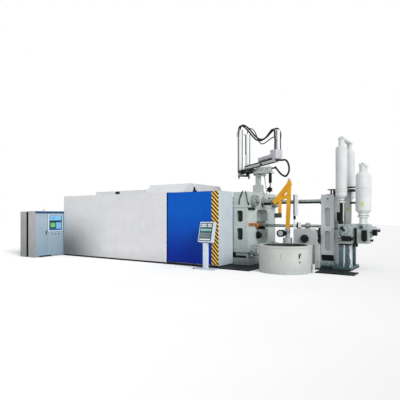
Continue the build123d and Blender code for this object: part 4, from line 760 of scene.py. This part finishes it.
# Painted shade and reflection: the faces that look down are painted nearly black.
overlay(rod_steel, "#121514", past(rod_steel, ("Z", -0.05, -0.35), of_normal=True))
dress(rod_steel, "upper_tie_rod", "shot_sleeve")
form = turned_bar(bmesh.new(), (2.625, 0.0, 2.15), (2.745, 0.0, 2.15),
                  [(0, 0.104), (0.3, 0.104), (0.31, 0.120), (1, 0.120)], 40)
piece("tie_rod_collar", form, rod_steel, smooth=50)
form = bolt_heads(bmesh.new(), ring_points(Vector((0.61, 0, 2.15)), y_way, z_way, 0.16, 12), x_way, 0.024,
                  washer=False)
piece("rod_flange_screws", form, zinc, smooth=50)

# Guard over the shot end: folded steel shroud in grey, with a hand wheel on a black boss, a pale oil cup and
# a black switch and fittings screwed on. The lubricator beside it is painted like the furnace.


def hoop(form, centre, across, other, radius, thick, count, sides=12):
    """Add a ring of round bar, in short straight runs."""
    spots = ring_points(centre, across, other, radius, count)
    for spot, ahead in zip(spots, spots[1:] + spots[:1]):
        peg(form, spot, ahead, thick, sides=sides)
    return form


shroud_coat = enamel("grey_shroud_enamel", "#bcc2c2", "#b0b6b6", 0.42)
overlay(shroud_coat, "#232526", past(shroud_coat, ("Y", -0.6805, -0.6805 - hard)))
dress(shroud_coat, "shot_shroud")
dress(furnace_coat, "lubricator")
wheel, wheel_reach = Vector((2.325, -0.748, 0.9475)), 0.112
form = hoop(bmesh.new(), wheel, x_way, z_way, wheel_reach, 0.014, 40)
peg(form, (wheel.x, -0.725, wheel.z), (wheel.x, -0.765, wheel.z), 0.030, 0.026, sides=24)
for end in ring_points(wheel, x_way, z_way, wheel_reach, 3, 0.75 / math.pi):
    peg(form, (wheel.x, -0.745, wheel.z), end, 0.013, 0.010, sides=12)
piece("shroud_hand_wheel", form, black_coat, smooth=50)
form = plates(bmesh.new(), (2.012, 2.092, -0.45, -0.35, 1.285, 1.465))
piece("shroud_oil_cup", form, strip_coat, bevel=0.006)
form = plates(bmesh.new(), (1.965, 2.012, -0.445, -0.355, 1.26, 1.455),
              (2.012, 2.092, -0.45, -0.35, 1.255, 1.285),
              (2.44, 2.72, -0.622, -0.6195, 0.742, 0.752), (2.7, 2.742, -0.52, -0.38, 0.82, 1.29))
for spot_z in (0.9, 1.06, 1.2):
    peg(form, (2.715, -0.52, spot_z), (2.715, -0.56, spot_z), 0.030, 0.020, 0.8, 20)
piece("shroud_switch", form, black_coat, bevel=0.004)

# Shot cylinder, manifold and valves: machined steel blocks drilled for the oil and sprayed grey-teal, with
# phosphated black cartridge valves, socket screws and a bolted comb of pressure fittings. Phosphate is matt
# and nearly black.
block_coat = enamel("grey_teal_block_enamel", "#b3c1be", "#a3b2b0", 0.38)
dress(block_coat, "injection_cylinder", "manifold_block", "valve_block")
phosphate = bare_finish("black_phosphated_steel", [(0.3, "#0b0c0d"), (0.7, "#191b1d")], (80.0, 4.0),
                        {"Metallic": 0.2, "Roughness": 0.5, "Specular IOR Level": 0.2}, edge=0.003)
overlay(phosphate, "#b9c1c4", past(phosphate, ("X", 4.1995, 4.1995 + hard)))
dress(phosphate, "valves")
flange = Vector((3.53, -0.62, 1.2625))
form = plates(bmesh.new(), (3.42, 3.5, -0.695, -0.62, 1.255, 1.345),
              (3.808, 3.872, -0.58, -0.55, 0.822, 1.312),
              (3.335, 3.72, -0.562, -0.48, 0.784, 0.824), (4.016, 4.156, -0.622, -0.55, 1.14, 1.248),
              (4.275, 4.395, -0.395, -0.225, 1.085, 1.27), (3.235, 3.352, -0.37, -0.23, 1.52, 1.788),
              (3.27, 3.32, -0.33, -0.27, 1.41, 1.52))
for comb_z in [0.85 + step * 0.06 for step in range(8)]:
    plates(form, (3.768, 3.81, -0.574, -0.55, comb_z, comb_z + 0.022))
for fin_z in [1.545 + step * 0.048 for step in range(5)]:
    plates(form, (3.23, 3.357, -0.374, -0.226, fin_z, fin_z + 0.02))
for seat in ring_points(flange, x_way, z_way, 0.138, 10, 0.5):
    peg(form, seat, seat - y_way * 0.014, 0.015, 0.011, 0.8)
for port_x, port_z, reach in ((3.385, 1.17, 0.028), (3.392, 1.09, 0.020), (3.36, 0.985, 0.022),
                              (3.372, 0.9, 0.016)):
    peg(form, (port_x, -0.55, port_z), (port_x, -0.585, port_z), reach, reach * 0.7, 0.8)
for plug_x in [3.352 + step * 0.044 for step in range(9)]:
    peg(form, (plug_x, -0.562, 0.806), (plug_x, -0.576, 0.806), 0.015, 0.011, sides=12)
for start, end, radius, tip, full, sides in (
        ((3.515, -0.62, 1.235), (3.515, -0.7, 1.235), 0.036, 0.024, 0.8, 20),
        ((3.78, -0.53, 0.846), (3.78, -0.53, 0.742), 0.034, 0.022, 0.75, 20),
        ((3.865, -0.53, 0.846), (3.865, -0.53, 0.742), 0.034, 0.022, 0.75, 20),
        ((4.086, -0.6, 0.935), (4.086, -0.6, 0.893), 0.026, 0.014, 0, 16),
        ((4.34, -0.395, 1.11), (4.34, -0.44, 1.11), 0.030, 0.020, 0.8, 20),
        ((4.34, -0.395, 1.19), (4.34, -0.44, 1.19), 0.030, 0.020, 0.8, 20)):
    peg(form, start, end, radius, tip, full, sides)
turned_bar(form, (4.33, -0.31, 1.225), (4.478, -0.31, 1.228),
           [(0, 0.020), (0.6, 0.020), (0.62, 0.036), (1, 0.036)], 20)
turned_bar(form, (4.2, -0.33, 0.94), (4.29, -0.33, 0.94),
           [(0, 0.016), (0.5, 0.016), (0.52, 0.034), (1, 0.034)], 20)
piece("valve_fittings", form, black_coat, bevel=0.002, smooth=40)
form = hoop(bmesh.new(), flange, x_way, z_way, 0.108, 0.006, 48, 8)
peg(form, (3.996, -0.55, 1.339), (3.996, -0.566, 1.339), 0.074, 0.068, 0.7, 36)
peg(form, (4.2, -0.305, 1.11), (4.275, -0.305, 1.11), 0.070, 0.055, 0.7, 32)
peg(form, (4.2, -0.18, 1.06), (4.235, -0.18, 1.06), 0.040, 0.034, sides=24)
bolt_heads(form, [(4.2, y, z) for y in (-0.5, -0.11) for z in (0.9, 1.365)], x_way, 0.030)
bolt_heads(form, [*((x, -0.55, 1.385) for x in (3.905, 4.165, 3.35, 3.72)), (3.74, -0.55, 0.87)],
           -y_way, 0.026, washer=False)
piece("valve_plugs", form, zinc, smooth=50)
form = peg(bmesh.new(), (3.996, -0.566, 1.339), (3.996, -0.574, 1.339), 0.054, 0.046, 0.7, 36)
cap_green = enamel("dark_green_cap_enamel", "#1f4a44", "#163a35", 0.35)
piece("valve_block_cap", form, cap_green, smooth=50)

# Drain pipes: drawn steel tube in pale enamel, screwed into the manifold's underside between the legs, with
# a loose pale hose beside them.
form = bmesh.new()
for pipe_x, pipe_y, pipe_r in ((3.475, -0.470, 0.018), (3.660, -0.420, 0.014), (3.690, -0.380, 0.014)):
    peg(form, (pipe_x, pipe_y, 0.098), (pipe_x, pipe_y, 0.822), pipe_r)
drain_hose = [(3.640, -0.520, 0.790), (3.690, -0.530, 0.640), (3.655, -0.535, 0.480), (3.700, -0.530, 0.330),
              (3.690, -0.520, 0.190), (3.650, -0.510, 0.100)]
ribbed_tube(form, centreline("drain_hose", drain_hose, 0.010), 0.013)
piece("drain_pipes", form, strip_coat, smooth=50)

# Nitrogen accumulators: seamless forged steel bottles in pale enamel, with bolted oil heads below, held by
# welded brackets at the top and clamp bars lower down. Each has a ring seam, and two carry a small blank
# yellow label.
bottle_coat = enamel("pale_bottle_enamel", "#dadede", "#cdd2d2", 0.34)
dress(bottle_coat, "tall_accumulators", "short_accumulators", "slim_cylinder", "bottle_brackets")
tall_spots, short_spots = ((3.41, -0.505), (3.41, 0.505)), ((4.01, -0.48), (4.01, -0.09))
tall_radius, short_radius = 0.172, 0.188
bottles = [(spot, tall_radius) for spot in tall_spots] + [(spot, short_radius) for spot in short_spots]
clamp_coat = enamel("black_clamp_enamel", "#141a18", "#0f1312", 0.5, specular=0.15)
for spot, radius in (bottles[0], *bottles[2:]):
    overlay(clamp_coat, "#dadede", within(clamp_coat, spot, radius + 0.016))
dress(clamp_coat, "clamp_bars")
form = bmesh.new()
for spot, radius in bottles:
    peg(form, (*spot, 2.484), (*spot, 2.494), radius + 0.003, sides=48)
piece("bottle_seam_rings", form, ring_coat, smooth=50)
form = bmesh.new()
for spots, rings in ((tall_spots, ((2.082, 2.12, 0.118), (2.15, 2.185, 0.104))),
                     (short_spots, ((1.632, 1.668, 0.132), (1.7, 1.735, 0.120), (1.422, 1.45, 0.115)))):
    for spot in spots:
        for low_z, high_z, radius in rings:
            peg(form, (*spot, low_z), (*spot, high_z), radius, sides=40)
piece("bottle_head_flanges", form, bottle_coat, bevel=0.003, smooth=50)
form = bmesh.new()
for spots, ring_z, ring_reach, top_z in ((tall_spots, 2.12, 0.1, 4.08), (short_spots, 1.668, 0.114, 3.235)):
    for spot in spots:
        for seat in ring_points(Vector((*spot, ring_z)), x_way, y_way, ring_reach, 10):
            peg(form, seat, seat + z_way * 0.016, 0.010, 0.007, 0.8, 10)
        peg(form, (*spot, top_z), (*spot, top_z + 0.025), 0.030, 0.020, 0.8, 20)
for spot in tall_spots:
    peg(form, (*spot, 1.424), (*spot, 2.068), 0.048, sides=32)
for start, end, radius in (((3.52, -0.262, 2.552), (3.85, -0.4, 2.552), 0.022),
                           ((3.618, -0.2, 2.074), (3.86, -0.38, 2.074), 0.030),
                           ((3.56, -0.25, 2.47), (3.83, -0.42, 2.47), 0.020)):
    peg(form, start, end, radius)
piece("bottle_rods_and_screws", form, black_coat, smooth=50)


def label_patch(form, centre, radius, height, half_turn, half_high):
    """Add a small curved label on a bottle's side, turned toward the operator."""
    middle = math.atan2(eye.y - centre[1], eye.x - centre[0])
    turns = [middle + half_turn * step / 3 for step in range(-3, 4)]
    rows = [[form.verts.new((centre[0] + radius * math.cos(turn), centre[1] + radius * math.sin(turn), z))
             for turn in turns] for z in (height - half_high, height + half_high)]
    for step in range(len(turns) - 1):
        form.faces.new((rows[0][step], rows[0][step + 1], rows[1][step + 1], rows[1][step]))


form = bmesh.new()
label_patch(form, (3.510, -0.150), 0.1192, 1.862, 0.28, 0.048)
label_patch(form, short_spots[0], short_radius + 0.0012, 2.023, 0.18, 0.052)
label_film = enamel("yellow_label_film", "#d8cf5a", "#c9c04a", 0.4)
piece("blank_bottle_labels", form, label_film)

# Control cabinets: folded steel cabinets with a hinged door, powder-coated warm grey on the sides and pale
# blue-grey in front, with a navy band over the top of the front. The panel's films and keys are printed and
# stuck on.
front = ("X", -7.6405, -7.6405 + hard)
# The sides darken toward the floor, up to about 1.4 m, with dust and painted shade.
cabinet_coat = enamel("warm_grey_cabinet_powder_coat", "#b7b2b5", "#aaa5a8", 0.45, dirt_and_shade="#7d8484",
                      dirt_and_shade_share=1.2, dirt_and_shade_top=1.4)
# The front is painted darker toward the bottom, as painted shade over the floor dust.
for code, *heights in (("#a2b2bf",), ("#7f97a6", ("Z", 1.5, -0.375)), ("#12406e", ("Z", 1.765, 1.765 + hard)),
                       ("#8fb6d8", ("Z", 1.848, 1.848 + hard))):
    overlay(cabinet_coat, code, past(cabinet_coat, front, *heights))
dress(cabinet_coat, "control_cabinet")
# Its sides darken toward the floor with dust and painted shade.
second_coat = enamel("grey_second_cabinet_powder_coat", "#a3a5a3", "#959796", 0.45, dirt_and_shade="#6f7676",
                     dirt_and_shade_share=1.2, dirt_and_shade_top=1.6)
# Painted shade: the second cabinet's face toward the viewer, seen past the first cabinet, is painted
# near-black.
overlay(second_coat, "#14161a", past(second_coat, ("X", -8.2405, -8.2405 + hard)))
dress(second_coat, "second_cabinet")
# The door darkens toward the floor, up to about 1.5 m, with dust and painted shade.
front_coat = enamel("pale_blue_grey_front_powder_coat", "#a4b4c0", "#9aaab8", 0.4, dirt_and_shade="#7590a0",
                    dirt_and_shade_share=1.5, dirt_and_shade_top=1.5)
dress(front_coat, "cabinet_door")
frame_coat = enamel("pale_panel_frame_enamel", "#c8d4e0", "#bccadb", 0.38)
dress(frame_coat, "operating_panel")


def on_front(depth, y, z):
    """A place by its depth from the cabinet's front."""
    return Vector((-7.640 + depth, y, z))


buttons = [on_front(0.008, y, 0.917) for y in (-2.761, -2.623, -2.469)]
form = plates(bmesh.new(), (0.0, 0.002, -2.992, -2.226, 1.001, 1.739),
              (-0.022, -0.020, -3.352, -2.789, 0.002, 0.056),
              place=on_front)
for button in buttons:
    peg(form, button, button + x_way * 0.018, 0.025, 0.019, 0.8, 24)
piece("panel_gap_and_buttons", form, black_coat, smooth=50)
form = plates(bmesh.new(), (0.0, 0.006, -2.98, -2.238, 1.013, 1.727), place=on_front)
for button in buttons:
    peg(form, button - x_way * 0.008, button, 0.037, 0.033, 0.6, 28)
piece("panel_frame", form, frame_coat, bevel=0.001, smooth=50)
keys = [(0.015, 0.019, y, y + 0.07, z, z + 0.05) for z in [1.145 + row * 0.062 for row in range(4)]
        for y in [-2.575 + column * 0.08 for column in range(3)]]
panel_blue = enamel("dark_blue_panel_film", "#2c6da0", "#245f90", 0.3)
light_film = enamel("light_blue_key_film", "#86c5ea", "#76b6de", 0.3)
navy_film = enamel("navy_film", "#123a68", "#0e3260", 0.3)
bezel_green = enamel("dark_green_bezel", "#0e4a3a", "#0a3f31", 0.3)
screen_green = enamel("green_screen_glass", "#74c07c", "#5fae6c", 0.2)
for name, film, slot, bevel, spans in (
        ("panel_back_film", panel_blue, "door_blue", 0.0, [(0.008, 0.014, -2.912, -2.296, 1.07, 1.684)]),
        ("panel_display_and_keys", light_film, "cabinet_blue_grey", 0.0005,
         [(0.014, 0.016, -2.893, -2.333, 1.48, 1.665), *keys, (0.014, 0.015, -2.585, -2.335, 1.135, 1.392)]),
        ("panel_navy_bar", navy_film, "door_blue", 0.0,
         [(0.016, 0.018, -2.88, -2.333, 1.402, 1.478), (0.016, 0.017, -2.86, -2.79, 1.565, 1.585),
          (0.016, 0.017, -2.75, -2.64, 1.565, 1.585), (0.016, 0.017, -2.56, -2.53, 1.565, 1.585)]),
        ("panel_screen_bezel", bezel_green, "casting_green", 0.002,
         [(0.014, 0.022, -2.903, -2.59, 1.146, 1.43)]),
        ("panel_screen", screen_green, "casting_green", 0.0, [(0.022, 0.024, -2.86, -2.632, 1.195, 1.375)])):
    piece(name, plates(bmesh.new(), *spans, place=on_front), film, bevel=bevel)
form = plates(bmesh.new(), (0.029, 0.034, -3.078, -3.042, 0.915, 1.07), place=on_front)
piece("door_handle_face", form, black_coat, "cabinet_door", bevel=0.002)
shank_x, shank_y = -7.72, -3.109
form = hoop(bmesh.new(), Vector((shank_x, shank_y, 1.912)), y_way, z_way, 0.026, 0.008, 16, 10)
peg(form, (shank_x, shank_y, 1.86), (shank_x, shank_y, 1.885), 0.022, 0.018)
piece("cabinet_lifting_eye", form, zinc, smooth=60)

# Operator's console: a tilted steel box on a post and foot, pale enamel, with a teal key panel. The keys are
# moulded caps in white, pale green and grey, without words, above a white strip.
console_coat = enamel("pale_console_enamel", "#d6e0ea", "#cbd6e2", 0.38)
dress(console_coat, "console_box", "console_stand")
console_tilt = math.radians(14)
console_back = Vector((0, math.cos(console_tilt), -math.sin(console_tilt)))
console_up = Vector((0, math.sin(console_tilt), math.cos(console_tilt)))


def on_console(across, depth, height):
    """A place on the console's tilted face."""
    return Vector((-0.170 + across, -2.640, 0.830)) + console_back * depth + console_up * height


def key_caps(starts, width, *rows):
    """The spans of rows of key caps, from where each cap starts, their width and each row's two heights."""
    return [(start, start + width, -0.082, -0.074, low, high) for start in starts for low, high in rows]


teal_film = enamel("dark_teal_key_film", "#17545c", "#114850", 0.35)
green_cap = enamel("pale_green_key_caps", "#9fd3c6", "#8cc4b6", 0.35)
grey_cap = enamel("grey_key_caps", "#8f9aa6", "#7a7482", 0.35)
for name, cap, slot, bevel, spans in (
        ("console_key_panel", teal_film, "casting_green", 0.001,
         [(-0.226, 0.226, -0.0755, -0.073, 0.05, 0.622)]),
        ("console_white_keys", strip_coat, "bottle_white", 0.002,
         key_caps((-0.195, -0.145, -0.095, -0.045, 0.045, 0.095, 0.145), 0.042,
                  (0.545, 0.592), (0.487, 0.532))
         + key_caps((-0.198,), 0.388, (0.074, 0.118))),
        ("console_green_keys", green_cap, "casting_green", 0.002,
         key_caps([-0.198 + step * 0.05 for step in range(8)], 0.04, (0.362, 0.432))),
        ("console_grey_keys", grey_cap, "cover_grey", 0.002,
         key_caps([-0.2 + step * 0.044 for step in range(9)], 0.032, (0.238, 0.304), (0.158, 0.224)))):
    piece(name, plates(bmesh.new(), *spans, place=on_console), cap, bevel=bevel)
form = plates(bmesh.new(), (-0.552, -0.5, -2.792, -2.488, 0.0, 0.038))
piece("console_foot_cap", form, black_coat, bevel=0.002)

# Studio: a matt near-white floor and a bright, even surround. The floor keeps the machine's shadow, and what
# the viewer and mirrors see past it is plain white.
ground = new_finish("matt_white_floor")
tooth = add(ground, "ShaderNodeTexNoise", values={"Scale": 30.0, "Detail": 4.0})
tone = add(ground, "ShaderNodeValToRGB", links={"Fac": tooth.outputs["Fac"]})
ramp(tone, [(0.3, "#f6f6f6"), (0.7, "#fafafa")])
matt = add(ground, "ShaderNodeBsdfDiffuse", values={"Roughness": 0.5}, links={"Color": tone.outputs["Color"]})
add(ground, "ShaderNodeOutputMaterial", links={"Surface": matt.outputs["BSDF"]})
floor_reach = 60
form = bmesh.new()
corners = [(x * floor_reach, y * floor_reach, 0.0) for x, y in ((-1, -1), (1, -1), (1, 1), (-1, 1))]
form.faces.new([form.verts.new(corner) for corner in corners])
floor_mesh = bpy.data.meshes.new("studio_floor")
form.to_mesh(floor_mesh)
form.free()
floor_mesh.materials.append(ground)
floor = bpy.data.objects.new("studio_floor", floor_mesh)
bpy.context.scene.collection.objects.link(floor)

room = bpy.data.worlds.new("studio_surround")
room.use_nodes = True
room.node_tree.nodes.clear()
rays = add(room, "ShaderNodeLightPath")
direct = add(room, "ShaderNodeMath", settings={"operation": "MAXIMUM"},
             links={0: rays.outputs["Is Camera Ray"], 1: rays.outputs["Is Glossy Ray"]})
plain = add(room, "ShaderNodeMath", settings={"operation": "MAXIMUM"},
            links={0: direct.outputs["Value"], 1: rays.outputs["Is Transmission Ray"]})
level = add(room, "ShaderNodeMapRange", values={"To Min": 0.58, "To Max": 1.0},
            links={"Value": plain.outputs["Value"]})
sky = add(room, "ShaderNodeBackground", values={"Color": (1, 1, 1, 1)},
          links={"Strength": level.outputs["Result"]})
add(room, "ShaderNodeOutputWorld", links={"Surface": sky.outputs["Background"]})
bpy.context.scene.world = room

key = bpy.data.lights.new("soft_key", "SUN")
key.energy = 2.0
key.angle = math.radians(25)
lamp = bpy.data.objects.new("soft_key", key)
lamp.rotation_euler = Vector((-0.80, 0.38, -0.50)).to_track_quat("-Z", "Y").to_euler()
bpy.context.scene.collection.objects.link(lamp)

bpy.context.scene.view_settings.view_transform = "Standard"
